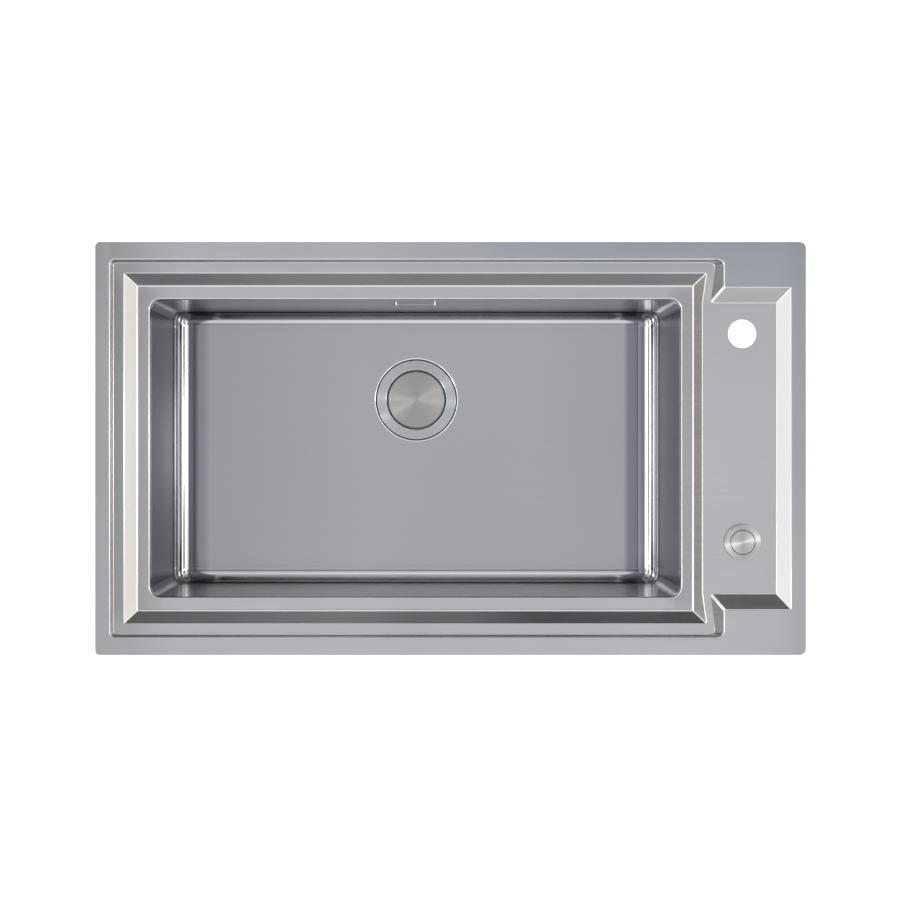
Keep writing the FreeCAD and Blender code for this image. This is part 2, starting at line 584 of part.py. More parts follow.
# --------------------------------------------------------------- sound pads
pad_z = D["bowl_floor_z"] - G
fps = []
for k, area in enumerate((rect(-320, D["waste_x"] - 66, -135, 135), rect(D["waste_x"] + 66, 235, -135, 135),
                          rect(D["waste_x"] - 64, D["waste_x"] + 64, -135, D["waste_y"] - 66)), 1):
    fp = body("floor_pad_%d" % k)
    pad(fp, "XY_Plane", [area], 2.5, lift=pad_z, reverse=True)
    soften(fp, 8, lambda e: abs(e.BoundBox.ZLength - 2.5) < 0.01 and e.Length < 2.6)
    fps.append(fp)
node("floor_sound_pads", boolean("Compound", "floor_sound_pads", *fps))
wp = []
for name, at, by, length in (("pad_front", (-42, -(D["bowl_y_half"] + G), 0), 0, 380),
                             ("pad_left", (-(D["bowl_x_left"] + G), 0, 0), -90, 220),
                             ("pad_right", (D["bowl_x_right"] + G, 0, 0), 90, 220)):
    b = body(name, at=at, turn=by)
    pad(b, "YZ_Plane", [[(0, -80), (0, -180), (-3, -180), (-3, -80)]], length, mid=True)
    soften(b, 12, lambda e: abs(e.BoundBox.YLength - 3) < 0.01 and e.Length < 3.1)
    wp.append(b)
node("wall_sound_pads", boolean("Compound", "wall_sound_pads", *wp))

# -------------------------------------------------------------------- waste
WAT = (D["waste_x"], D["waste_y"], 0)
zfloor = D["bowl_floor_z"]
zrec = zfloor - D["recess_drop"]

wf = body("waste_flange", at=WAT)
R1, R2, R3 = D["neck_bore_rad"], D["neck_rad"], D["flange_rad"]
turn(wf, [(R1, D["neck_end_z"]), (R2, D["neck_end_z"]), (R2, zrec + 1.2), (R3, zrec + 1.2), (R3, zfloor - 0.6),
          (R3 - 0.5, zfloor - 0.3), (R1 + 1.8, zfloor - 0.3), (R1 + 0.5, zfloor - 1.0), (R1, zfloor - 2.4)])
node("waste_flange", wf)

g = body("flange_gasket_upper", at=WAT)
turn(g, [(D["waste_hole_rad"] + 0.2, zrec), (R3 - 1, zrec), (R3 - 1, zrec + 1.2), (D["waste_hole_rad"] + 0.2, zrec + 1.2)])
node("flange_gasket_upper", g)
zus = zrec - G
g = body("flange_gasket_lower", at=WAT)
turn(g, [(R2 + 0.2, zus - 2.5), (R3, zus - 2.5), (R3, zus), (R2 + 0.2, zus)])
node("flange_gasket_lower", g)

nut = body("waste_lock_nut", at=WAT)
turn(nut, [(R2 + 0.05, zus - 2.5), (R3, zus - 2.5), (R3, zus - 12.5), (R2 + 0.05, zus - 12.5)])
sk = sketch(nut, "lug_gap", "XY_Plane", [rect(R3 - 3, R3 + 3, -6, 6)], lift=zus - 4.5)
f = grow(nut, "Pocket", sk, 20)
polar(nut, f, sk, 8)
node("waste_lock_nut", nut)

wb = body("waste_body", at=WAT)
C, CB = D["cup_rad"], D["cup_bore_rad"]
zn, zs, zc = D["neck_end_z"], D["seat_z"], D["chamber_floor_z"]
SEAT_R = 26
turn(wb, [(R2 + 0.05, zn + 12), (R2 + 5, zn + 12), (R2 + 5, zn - 3), (C, zn - 7), (C, zc - 3), (D["outlet_rad"], zc - 3),
          (D["outlet_rad"], D["outlet_end_z"]), (D["outlet_bore_rad"], D["outlet_end_z"]), (D["outlet_bore_rad"], zc),
          (CB, zc), (CB, zs - 3), (SEAT_R, zs - 3), (SEAT_R, zs), (CB, zs), (CB, zn - 2), (R2 + 0.05, zn - 2)])
# grip ribs on the collar
sk = sketch(wb, "collar_rib", "XY_Plane", [rect(R2 + 3, R2 + 7, -1.5, 1.5)], lift=zn - 1)
f = grow(wb, "Pad", sk, 12)
polar(wb, f, sk, 16)
# three arms and a hub that guide the lift pin
sk = sketch(wb, "guide_arm", "XY_Plane", [rect(3.5, CB + 1, -1.6, 1.6)], lift=-270)
f = grow(wb, "Pad", sk, 4)
polar(wb, f, sk, 3)
pad(wb, "XY_Plane", [("circle", 0, 0, 6)], 4, lift=-270)
cut(wb, "XY_Plane", [("circle", 0, 0, D["pin_rad"] + 0.08)], 8, lift=-264)
# overflow inlet to the wall side
sk = sketch(wb, "inlet", "XZ_Plane", [("circle", 0, D["inlet_z"], 10.6)], lift=-62)
grow(wb, "Pad", sk, 21)
cut(wb, "XZ_Plane", [("circle", 0, D["inlet_z"], 8.5)], 40, lift=-64, reverse=True)
node("waste_body", wb)

# cable port and rocker lugs lie in the plane of waste and knob
DX, DY = D["knob_x"].v - D["waste_x"].v, D["knob_y"].v - D["waste_y"].v
AZ = math.degrees(math.atan2(DY, DX))
SPAN = math.hypot(DX, DY)

port = body("cable_port", at=WAT, turn=AZ)
sk = sketch(port, "boss", "YZ_Plane", [("circle", 0, D["cable_z"], 5.6)], lift=CB + 0.5)
grow(port, "Pad", sk, 18)
pad(port, "XZ_Plane", [[(D["rocker_x"] - 5, zc - 0.5), (D["rocker_x"] + 5, zc - 0.5), (D["rocker_x"] + 3.6, D["rocker_z"] + 4),
                        (D["rocker_x"] - 3.6, D["rocker_z"] + 4)]], 15, mid=True)
cut(port, "XZ_Plane", [rect(D["rocker_x"] - 8, D["rocker_x"] + 8, zc, D["rocker_z"] + 8)], 9, mid=True)
cut(port, "XZ_Plane", [("circle", D["rocker_x"], D["rocker_z"], D["pivot_rad"])], 30, mid=True)
doc.recompute()
port_bore = prim("Cylinder", "port_bore", at=WAT, Radius=3.2, Height=60)
port_bore.Placement = FreeCAD.Placement(
    V(D["waste_x"].v, D["waste_y"].v, D["cable_z"].v), FreeCAD.Rotation(V(0, 0, 1), AZ) * FreeCAD.Rotation(V(0, 1, 0), 90))
port_bore.Placement.Base = port_bore.Placement.Base + FreeCAD.Rotation(V(0, 0, 1), AZ).multVec(V(30, 0, 0))
whole = boolean("MultiFuse", "waste_body_moulding", wb, port)
wb.Label = "waste_body_turned"
node("waste_body", boolean("Cut", "waste_body", whole, port_bore))

g = body("waste_body_seal", at=WAT)
turn(g, [(CB + 0.3, zn - 2), (R2 - 0.2, zn - 2), (R2 - 0.2, zn), (CB + 0.3, zn)])
node("waste_body_seal", g)

b = body("rocker_pivot_pin", at=WAT, turn=AZ)
pad(b, "XZ_Plane", [("circle", D["rocker_x"], D["rocker_z"], D["pivot_rad"])], 15.6, mid=True)
node("rocker_pivot_pin", b)

# ------------------------------------------------------- strainer and plug
b = body("plug_cap", at=WAT)
CR, CT = D["cap_rad"], D["cap_top_z"]
turn(b, [(0, CT - 2), (CR - 2.5, CT - 2), (CR - 0.4, CT - 1.6), (CR, CT - 0.9), (CR - 0.5, CT - 0.25), (CR - 1.3, CT), (0, CT)])
node("plug_cap", b)
b = body("plug_stem", at=WAT)
turn(b, [(0, CT - 2), (4, CT - 2), (4, -255.4), (2.5, -255.4), (2.5, D["pin_top_z"] + 0.1), (0, D["pin_top_z"] + 0.1)])
node("plug_stem", b)
b = body("strainer_basket", at=WAT)
BR, BG, BZ = D["basket_rad"], D["basket_gauge"], D["basket_floor_z"]
turn(b, [(2.6, BZ + 0.8), (2.6, BZ + 1.6), (BR - BG - 2, BZ + 1.6), (BR - BG, BZ + 3.6), (BR - BG, -227), (BR, -227),
         (BR, BZ + 3.4), (BR - 2.2, BZ + 0.8)])
sk = sketch(b, "wall_slot", "XZ_Plane", [rect(-1.5, 1.5, BZ + 7, -231)], lift=-45)
f = grow(b, "Pocket", sk, 12, reverse=True)
polar_axis = sketch(b, "slot_axis", "XY_Plane", [("circle", 0, 0, 1)])
p = b.newObject("PartDesign::PolarPattern", "basket_slots")
p.Originals = [f]
p.Axis = (polar_axis, ["N_Axis"])
p.Angle = 360
p.Occurrences = 24
b.Tip = p
doc.recompute()
for ring, times in ((30, 16), (23, 12), (16, 8)):
    sk = sketch(b, "floor_hole_%d" % ring, "XY_Plane", [("circle", ring, 0, 1.8)], lift=BZ + 3)
    f = grow(b, "Pocket", sk, 5)
    polar(b, f, sk, times)
node("strainer_basket", b)
b = body("plug_seal", at=WAT)
turn(b, [(2.6, BZ + 0.8), (12, BZ + 0.8), (28, zs + 2.4), (30.5, zs + 1.8), (30.5, zs + 0.3), (26.8, zs + 0.3), (11.5, BZ - 0.7),
         (2.6, BZ - 0.7)])
node("plug_seal", b)
b = body("plug_nut", at=WAT)
hexa = [(6.6 * math.cos(math.radians(60 * i)), 6.6 * math.sin(math.radians(60 * i))) for i in range(6)]
pad(b, "XY_Plane", [hexa, ("circle", 0, 0, 2.55)], 4, lift=BZ - 4.7)
node("plug_nut", b)

# -------------------------------------------------------------- lift gear
b = body("lift_pin", at=WAT)
PR = D["pin_rad"]
turn(b, [(0, D["pin_end_z"]), (PR, D["pin_end_z"]), (PR, D["pin_top_z"] - 0.5), (PR - 0.5, D["pin_top_z"]), (0, D["pin_top_z"])])
node("lift_pin", b)

b = body("lift_rocker", at=WAT, turn=AZ)
RX, RZ, RD, NR = D["rocker_x"], D["rocker_z"], D["rocker_drop"], D["nose_round"]
pad(b, "XZ_Plane", [rect(0, RX, RZ - 2.2, RZ + 2.2)], 5, mid=True)
pad(b, "XZ_Plane", [("circle", 0, RZ, NR)], 5, mid=True)
pad(b, "XZ_Plane", [rect(RX - 2.2, RX + 2.2, RZ - RD, RZ)], 5, mid=True)
pad(b, "XZ_Plane", [("circle", RX, RZ - RD, 3.5)], 5, mid=True)
pad(b, "XZ_Plane", [("circle", RX, RZ, 4)], 8.4, mid=True)
cut(b, "XZ_Plane", [("circle", RX, RZ, D["pivot_rad"] + 0.06)], 20, mid=True)
node("lift_rocker", b)

b = body("cable_push_rod", at=WAT, turn=AZ)
sk = sketch(b, "rod", "YZ_Plane", [("circle", 0, D["cable_z"], 1.5)], lift=RX + 3.6)
grow(b, "Pad", sk, 40)
node("cable_push_rod", b)

# ----------------------------------------------------------- control cable
b = body("cable_gland_nut", at=WAT, turn=AZ)
for r, lift, size in ((5.5, CB + 18.6, 5.4), (4.0, CB + 24.0, 4)):
    sk = sketch(b, "gland_%d" % int(r * 10), "YZ_Plane", [("circle", 0, D["cable_z"], r)], lift=lift)
    grow(b, "Pad", sk, size)
sk = sketch(b, "gland_rod_bore", "YZ_Plane", [("circle", 0, D["cable_z"], 1.58)], lift=CB + 15)
grow(b, "Pocket", sk, 40, reverse=True)
sk = sketch(b, "gland_cable_bore", "YZ_Plane", [("circle", 0, D["cable_z"], D["cable_rad"])], lift=D["cable_end_x"] - 1)
grow(b, "Pocket", sk, 8, reverse=True)
node("cable_gland_nut", b)

RB = D["cable_bend_rad"]


def cable(label, rad, bore, x_end, z_start):
    """Tube along the cable's route: down from the knob, one bend, then level."""
    zk, xs = D["cable_z"].v, SPAN
    r = RB.v
    p0, p1 = V(xs, 0, z_start), V(xs, 0, zk + r)
    mid = V(xs - r + r * math.cos(math.radians(45)), 0, zk + r - r * math.sin(math.radians(45)))
    p2, p3 = V(xs - r, 0, zk), V(x_end, 0, zk)
    path = Part.Wire([Part.LineSegment(p0, p1).toShape(), Part.Arc(p1, mid, p2).toShape(), Part.LineSegment(p2, p3).toShape()])
    outer = path.makePipeShell([Part.Wire([Part.makeCircle(rad, p0, V(0, 0, 1))])], True, True)
    if bore:
        outer = outer.cut(path.makePipeShell([Part.Wire([Part.makeCircle(bore, p0, V(0, 0, 1))])], True, True))
    o = doc.addObject("Part::Feature", label)
    o.Label = label
    o.Shape = outer
    put(o, (D["waste_x"], D["waste_y"], 0), AZ)
    section = math.pi * (rad ** 2 - bore ** 2)
    print(label, "length", round(path.Length, 1), "volume ratio", round(outer.Volume / (section * path.Length), 4))
    return o


node("cable_sheath", cable("cable_sheath", D["cable_rad"].v, 1.6, D["cable_end_x"].v, D["cable_start_z"].v))
node("cable_core", cable("cable_core", 0.9, 0, D["rocker_x"].v + 3.6 + 40 + 0.2, D["housing_end_z"].v + 1.0))

# ----------------------------------------------------------------- overflow
# The cover stands off the rear wall.  Water goes in at its face slot and its
# lower edge, through the wall, and down the elbow behind.  Two screws from
# behind pull the cover, the wall and the elbow together.
zo, yo = D["over_z"], D["bowl_y_half"]
SX = 23.1
b = body("overflow_cover", at=(D["over_x"], yo, zo))
pad(b, "XZ_Plane", [rect(-26.75, 26.75, -10.5, 10.5)], 3.6)
soften(b, 4, lambda e: abs(e.BoundBox.YLength - 3.6) < 0.01)
soften(b, 1.2, lambda e: e.BoundBox.YLength < 1e-3 and abs(e.BoundBox.YMin + 3.6) < 0.01)
cut(b, "XZ_Plane", [rect(-25.2, 25.2, -8.9, 8.9), ("circle", -SX, 0, 1.8), ("circle", SX, 0, 1.8)], 2.6, reverse=True)
cut(b, "XZ_Plane", [rect(-21, 21, -2.6, 2.6)], 20, mid=True)
cut(b, "XZ_Plane", [rect(-16, 16, -12, -8)], 2.4, reverse=True)
cut(b, "XZ_Plane", [("circle", -SX, 0, 1.2), ("circle", SX, 0, 1.2)], 2.4, reverse=True)
node("overflow_cover", b)

screws = []
for k, x in enumerate((-SX, SX), 1):
    b = body("overflow_screw_%d" % k, at=(D["over_x"] + x, yo, zo))
    sk = sketch(b, "shank", "XZ_Plane", [("circle", 0, 0, 1.2)], lift=-7)
    grow(b, "Pad", sk, 9)
    sk = sketch(b, "head", "XZ_Plane", [("circle", 0, 0, 2.6)], lift=-9)
    grow(b, "Pad", sk, 2)
    cut(b, "XZ_Plane", [rect(-3, 3, -0.35, 0.35)], 0.8, lift=-9, reverse=True)
    screws.append(b)
node("overflow_screws", boolean("Compound", "overflow_screws", *screws))

b = body("overflow_gasket_whole", at=(D["over_x"], yo + G, zo))
pad(b, "XZ_Plane", [rect(-27, 27, -14, 14), rect(-17, 17, -6.5, 6.5), ("circle", -SX, 0, 1.5), ("circle", SX, 0, 1.5)],
    2, reverse=True)
gasket_fields = fields("gasket", b, [(D["over_x"] - 28, D["over_x"] - 17, yo, yo + 6, zo - 15, zo + 15),
                                     (D["over_x"] + 17, D["over_x"] + 28, yo, yo + 6, zo - 15, zo + 15),
                                     (D["over_x"] - 17, D["over_x"] + 17, yo, yo + 6, zo - 15, zo - 6.5),
                                     (D["over_x"] - 17, D["over_x"] + 17, yo, yo + 6, zo + 6.5, zo + 15)])
check_fields(b, gasket_fields)
node("overflow_gasket", boolean("Compound", "overflow_gasket", *gasket_fields))

b = body("overflow_elbow", at=(D["over_x"], yo + G + 2, zo))
pad(b, "XZ_Plane", [rect(-27, 27, -14, 14), ("circle", -SX, 0, 1.4), ("circle", SX, 0, 1.4)], 4, reverse=True)
soften(b, 5, lambda e: abs(e.BoundBox.YLength - 4) < 0.01 and abs(e.BoundBox.Center.x) > 26 and abs(e.BoundBox.Center.z) > 13)
pad(b, "XZ_Plane", [rect(-20, 20, -13, 13)], 32, reverse=True)
soften(b, 4, lambda e: abs(e.BoundBox.YLength - 28) < 0.01)
sk = sketch(b, "elbow_inside", "XZ_Plane", [rect(-17, 17, -10.5, 10.5)], lift=0)
grow(b, "Pocket", sk, 29.5)
yh = D["hose_y"] - (yo + G + 2)
pad(b, "XY_Plane", [("circle", 0, yh, 10.6)], 25, lift=-12, reverse=True)
cut(b, "XY_Plane", [("circle", 0, yh, 8.4)], 40, lift=-5)
node("overflow_elbow", b)


def hose():
    """Hose from the elbow's spigot down and forward to the waste's inlet."""
    x, yh_, zi, r = D["over_x"].v, D["hose_y"].v, D["inlet_z"].v, D["hose_bend_rad"].v
    p0, p1 = V(x, yh_, D["hose_top_z"].v + 6), V(x, yh_, zi + r)
    mid = V(x, yh_ - r + r * math.cos(math.radians(45)), zi + r - r * math.sin(math.radians(45)))
    p2, p3 = V(x, yh_ - r, zi), V(x, D["waste_y"].v + 45, zi)
    path = Part.Wire([Part.LineSegment(p0, p1).toShape(), Part.Arc(p1, mid, p2).toShape(), Part.LineSegment(p2, p3).toShape()])
    ring = lambda rad: path.makePipeShell([Part.Wire([Part.makeCircle(rad, p0, V(0, 0, 1))])], True, True)
    tube = ring(D["hose_rad"].v).cut(ring(10.6))
    o = doc.addObject("Part::Feature", "overflow_hose")
    o.Shape = tube
    o.Placement = FreeCAD.Placement()
    print("overflow hose length", round(path.Length, 1), "volume ratio",
          round(tube.Volume / (math.pi * (12.5 ** 2 - 10.6 ** 2) * path.Length), 4))
    return o


node("overflow_hose", hose())
clips = []
for name, at, axis, by in (("hose_clamp_top", (D["over_x"], D["hose_y"], D["hose_top_z"] - 4), (0, 0, 1), 0),
                           ("hose_clamp_low", (D["over_x"], D["waste_y"] + 58, D["inlet_z"]), (1, 0, 0), 90)):
    b = body(name)
    turn(b, [(12.6, -5), (15.2, -5), (15.2, 5), (12.6, 5)])
    sk = sketch(b, "grip", "XY_Plane", [rect(14.4, 17, -1.6, 1.6)], lift=-5)
    f = grow(b, "Pad", sk, 10)
    polar(b, f, sk, 10)
    at = [q(a) for a in at]
    b.Placement = FreeCAD.Placement(V(*[a.v for a in at]), FreeCAD.Rotation(V(*axis), by))
    for letter, a in zip("xyz", at):
        bind(b, "Placement.Base." + letter, a)
    clips.append(b)
node("hose_clamps", boolean("Compound", "hose_clamps", *clips))

# --------------------------------------------------------------------- knob
KAT = (D["knob_x"], D["knob_y"], 0)
zd = D["rim_top_z"] - D["tap_deck_depth"]
KT, BRo, BRi, HR = D["knob_top_z"], D["bezel_rad"], D["bezel_bore_rad"], D["housing_rad"]
b = body("knob_gasket", at=KAT)
turn(b, [(HR + 0.6, zd), (BRo - 1, zd), (BRo - 1, zd + 0.8), (HR + 0.6, zd + 0.8)])
node("knob_gasket", b)
b = body("knob_housing", at=KAT)
HE = D["housing_end_z"]
turn(b, [(HR, HE), (HR, zd + 0.8), (HR + 2.5, zd + 0.8), (HR + 2.5, zd + 2.2), (BRi + 0.1, zd + 2.2), (BRi + 0.1, -30),
         (13.5, -30), (13.5, HE)])
node("knob_housing", b)
b = body("knob_bezel", at=KAT)
turn(b, [(HR + 2.6, zd + 0.8), (BRo, zd + 0.8), (BRo, KT - 1.1), (BRo - 0.35, KT - 0.5), (BRo - 1, KT - 0.2), (BRi + 1.2, KT),
         (BRi + 0.4, KT - 0.15), (BRi, KT - 0.6), (BRi, zd + 2.2), (HR + 2.6, zd + 2.2)])
node("knob_bezel", b)
b = body("knob_washer", at=KAT)
turn(b, [(HR + 0.3, zd - G - 2), (24, zd - G - 2), (24, zd - G), (HR + 0.3, zd - G)])
node("knob_washer", b)
b = body("knob_nut", at=KAT)
turn(b, [(HR + 0.05, zd - G - 10), (23.5, zd - G - 10), (23.5, zd - G - 2), (HR + 0.05, zd - G - 2)])
sk = sketch(b, "wing", "XY_Plane", [rect(22, 28, -3, 3)], lift=zd - G - 10)
f = grow(b, "Pad", sk, 8)
polar(b, f, sk, 4)
node("knob_nut", b)
b = body("knob_end_cap", at=KAT)
turn(b, [(2.6, HE - 12), (5, HE - 12), (6, HE - 3), (HR, HE - 3), (HR, HE), (13.4, HE), (13.4, HE + 3), (3.2, HE + 3), (3.2, HE), (2.6, HE - 1)])
node("knob_end_cap", b)

BB = D["button_rad"]
b = body("push_button", at=KAT)
turn(b, [(0, KT - 2.2), (BB - 1.4, KT - 2.2), (BB - 1.4, -29.5 + 10.5), (BB, -29.5 + 10.5), (BB, KT - 0.5), (BB - 0.5, KT - 0.05),
         (BB - 1.2, KT), (0, KT)])
node("push_button", b)
b = body("button_stem", at=KAT)
turn(b, [(0, KT - 2.2), (4.5, KT - 2.2), (4.5, KT - 8), (3, KT - 9), (3, -53), (0, -53)])
node("button_stem", b)


def spring():
    """Return spring between the housing's end cap and the button."""
    z0, z1, r, wire = D["housing_end_z"].v + 3 + 0.7, -11.1, 8.5, 0.6
    helix = Part.makeHelix((z1 - z0) / 9.0, z1 - z0, r)
    helix.translate(V(0, 0, z0))
    coil = Part.Wire(helix.Edges).makePipeShell([Part.Wire([Part.makeCircle(wire, V(r, 0, z0), V(0, 1, 0))])], True, True)
    o = doc.addObject("Part::Feature", "return_spring")
    o.Shape = coil
    put(o, KAT)
    return o


node("return_spring", spring())

# --------------------------------------------------------- check and write
doc.recompute()
bad = [o.Label for o in doc.Objects if "Invalid" in o.State or "Error" in o.State]
if bad:
    raise RuntimeError("failed objects: %s" % ", ".join(bad))
for name, obj in NODES.items():
    shape = obj.Shape
    if shape.isNull() or not shape.isValid() or not shape.Solids:
        raise RuntimeError("bad shape in %s" % name)
print(len(NODES), "nodes")
for old in os.listdir("parts"):
    if old.endswith(".step"):
        os.remove(os.path.join("parts", old))
for name, obj in NODES.items():
    obj.Shape.exportStep("parts/%s.step" % name)
    bb = obj.Shape.BoundBox
    print("%-22s solids %d  x %.1f %.1f  y %.1f %.1f  z %.1f %.1f  vol %.0f" % (
        name, len(obj.Shape.Solids), bb.XMin, bb.XMax, bb.YMin, bb.YMax, bb.ZMin, bb.ZMax, obj.Shape.Volume))
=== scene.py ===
import json
import math

import bmesh
import bpy
import numpy as np
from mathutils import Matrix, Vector
from mathutils.bvhtree import BVHTree


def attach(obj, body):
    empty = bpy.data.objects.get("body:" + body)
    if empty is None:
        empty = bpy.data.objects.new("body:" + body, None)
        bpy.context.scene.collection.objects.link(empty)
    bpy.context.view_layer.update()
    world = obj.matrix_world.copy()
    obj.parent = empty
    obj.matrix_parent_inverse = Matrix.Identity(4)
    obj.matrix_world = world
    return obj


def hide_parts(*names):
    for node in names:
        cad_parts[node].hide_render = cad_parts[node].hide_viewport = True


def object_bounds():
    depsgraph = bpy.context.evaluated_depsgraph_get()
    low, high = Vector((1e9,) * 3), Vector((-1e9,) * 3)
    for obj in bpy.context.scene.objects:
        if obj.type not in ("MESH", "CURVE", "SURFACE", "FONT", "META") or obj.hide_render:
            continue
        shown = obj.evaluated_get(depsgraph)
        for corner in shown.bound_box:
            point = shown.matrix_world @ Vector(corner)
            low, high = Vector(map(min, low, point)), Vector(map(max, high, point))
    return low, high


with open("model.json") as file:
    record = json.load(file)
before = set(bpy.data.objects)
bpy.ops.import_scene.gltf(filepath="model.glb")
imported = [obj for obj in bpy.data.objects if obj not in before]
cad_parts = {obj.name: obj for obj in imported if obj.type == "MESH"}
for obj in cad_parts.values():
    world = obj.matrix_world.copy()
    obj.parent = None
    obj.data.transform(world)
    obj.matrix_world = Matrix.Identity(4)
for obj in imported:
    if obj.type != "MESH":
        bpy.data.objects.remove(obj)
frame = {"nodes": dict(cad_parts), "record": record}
cad_box = [list(c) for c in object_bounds()]
NODES = frame["nodes"]
BODY_OF = {n: b for b, members in frame["record"]["behaviour"]["bodies"].items() for n in members}
SLOT_OF = {s["node"]: s["material_slot"] for s in frame["record"]["subparts"]}
scene = bpy.context.scene
MM = 0.001


# ------------------------------------------------------------------ materials
class Tree:
    """Short hand for building one node material."""

    def __init__(self, name):
        self.mat = bpy.data.materials.new(name)
        self.mat.use_nodes = True
        self.nt = self.mat.node_tree
        self.nt.nodes.clear()
        self.out = self.add("ShaderNodeOutputMaterial")
        self.bsdf = self.add("ShaderNodeBsdfPrincipled")
        self.link(self.bsdf, "BSDF", self.out, "Surface")
        self.coords = self.add("ShaderNodeTexCoord")

    def add(self, kind, **props):
        n = self.nt.nodes.new(kind)
        for k, v in props.items():
            setattr(n, k, v)
        return n

    def link(self, a, out, b, inp):
        self.nt.links.new(a.outputs[out], b.inputs[inp])

    def set(self, **values):
        for k, v in values.items():
            self.bsdf.inputs[k.replace("_", " ")].default_value = v

    def mapping(self, scale, rotation=(0, 0, 0), location=(0, 0, 0), source=None):
        m = self.add("ShaderNodeMapping")
        m.inputs["Scale"].default_value = scale
        m.inputs["Rotation"].default_value = rotation
        m.inputs["Location"].default_value = location
        if source is None:
            self.link(self.coords, "Object", m, "Vector")
        else:
            self.nt.links.new(source, m.inputs["Vector"])
        return m

    def noise(self, mapping, scale, detail=3.0, rough=0.5):
        n = self.add("ShaderNodeTexNoise")
        n.inputs["Scale"].default_value = scale
        n.inputs["Detail"].default_value = detail
        n.inputs["Roughness"].default_value = rough
        self.link(mapping, "Vector", n, "Vector")
        return n

    def ramp(self, source, lo, hi, a=0.0, b=1.0):
        """Maps a value from lo..hi to a..b."""
        m = self.add("ShaderNodeMapRange")
        m.inputs["From Min"].default_value = lo
        m.inputs["From Max"].default_value = hi
        m.inputs["To Min"].default_value = a
        m.inputs["To Max"].default_value = b
        self.nt.links.new(source, m.inputs["Value"])
        return m.outputs["Result"]

    def mix(self, factor, a, b):
        m = self.add("ShaderNodeMix", data_type="RGBA")
        self.nt.links.new(factor, m.inputs["Factor"])
        m.inputs[6].default_value = (*a, 1)
        m.inputs[7].default_value = (*b, 1)
        return m.outputs[2]

    def math(self, op, a, b=None):
        m = self.add("ShaderNodeMath", operation=op)
        for k, v in enumerate((a, b)):
            if v is None:
                continue
            if isinstance(v, (int, float)):
                m.inputs[k].default_value = v
            else:
                self.nt.links.new(v, m.inputs[k])
        return m.outputs[0]

    def to(self, source, socket):
        self.nt.links.new(source, self.bsdf.inputs[socket])

    def bump(self, source, strength, distance):
        b = self.add("ShaderNodeBump")
        b.inputs["Strength"].default_value = strength
        b.inputs["Distance"].default_value = distance
        self.nt.links.new(source, b.inputs["Height"])
        self.link(b, "Normal", self.bsdf, "Normal")
        return b


STEEL = (0.50, 0.505, 0.515)
STEEL_DARK = (0.475, 0.48, 0.49)


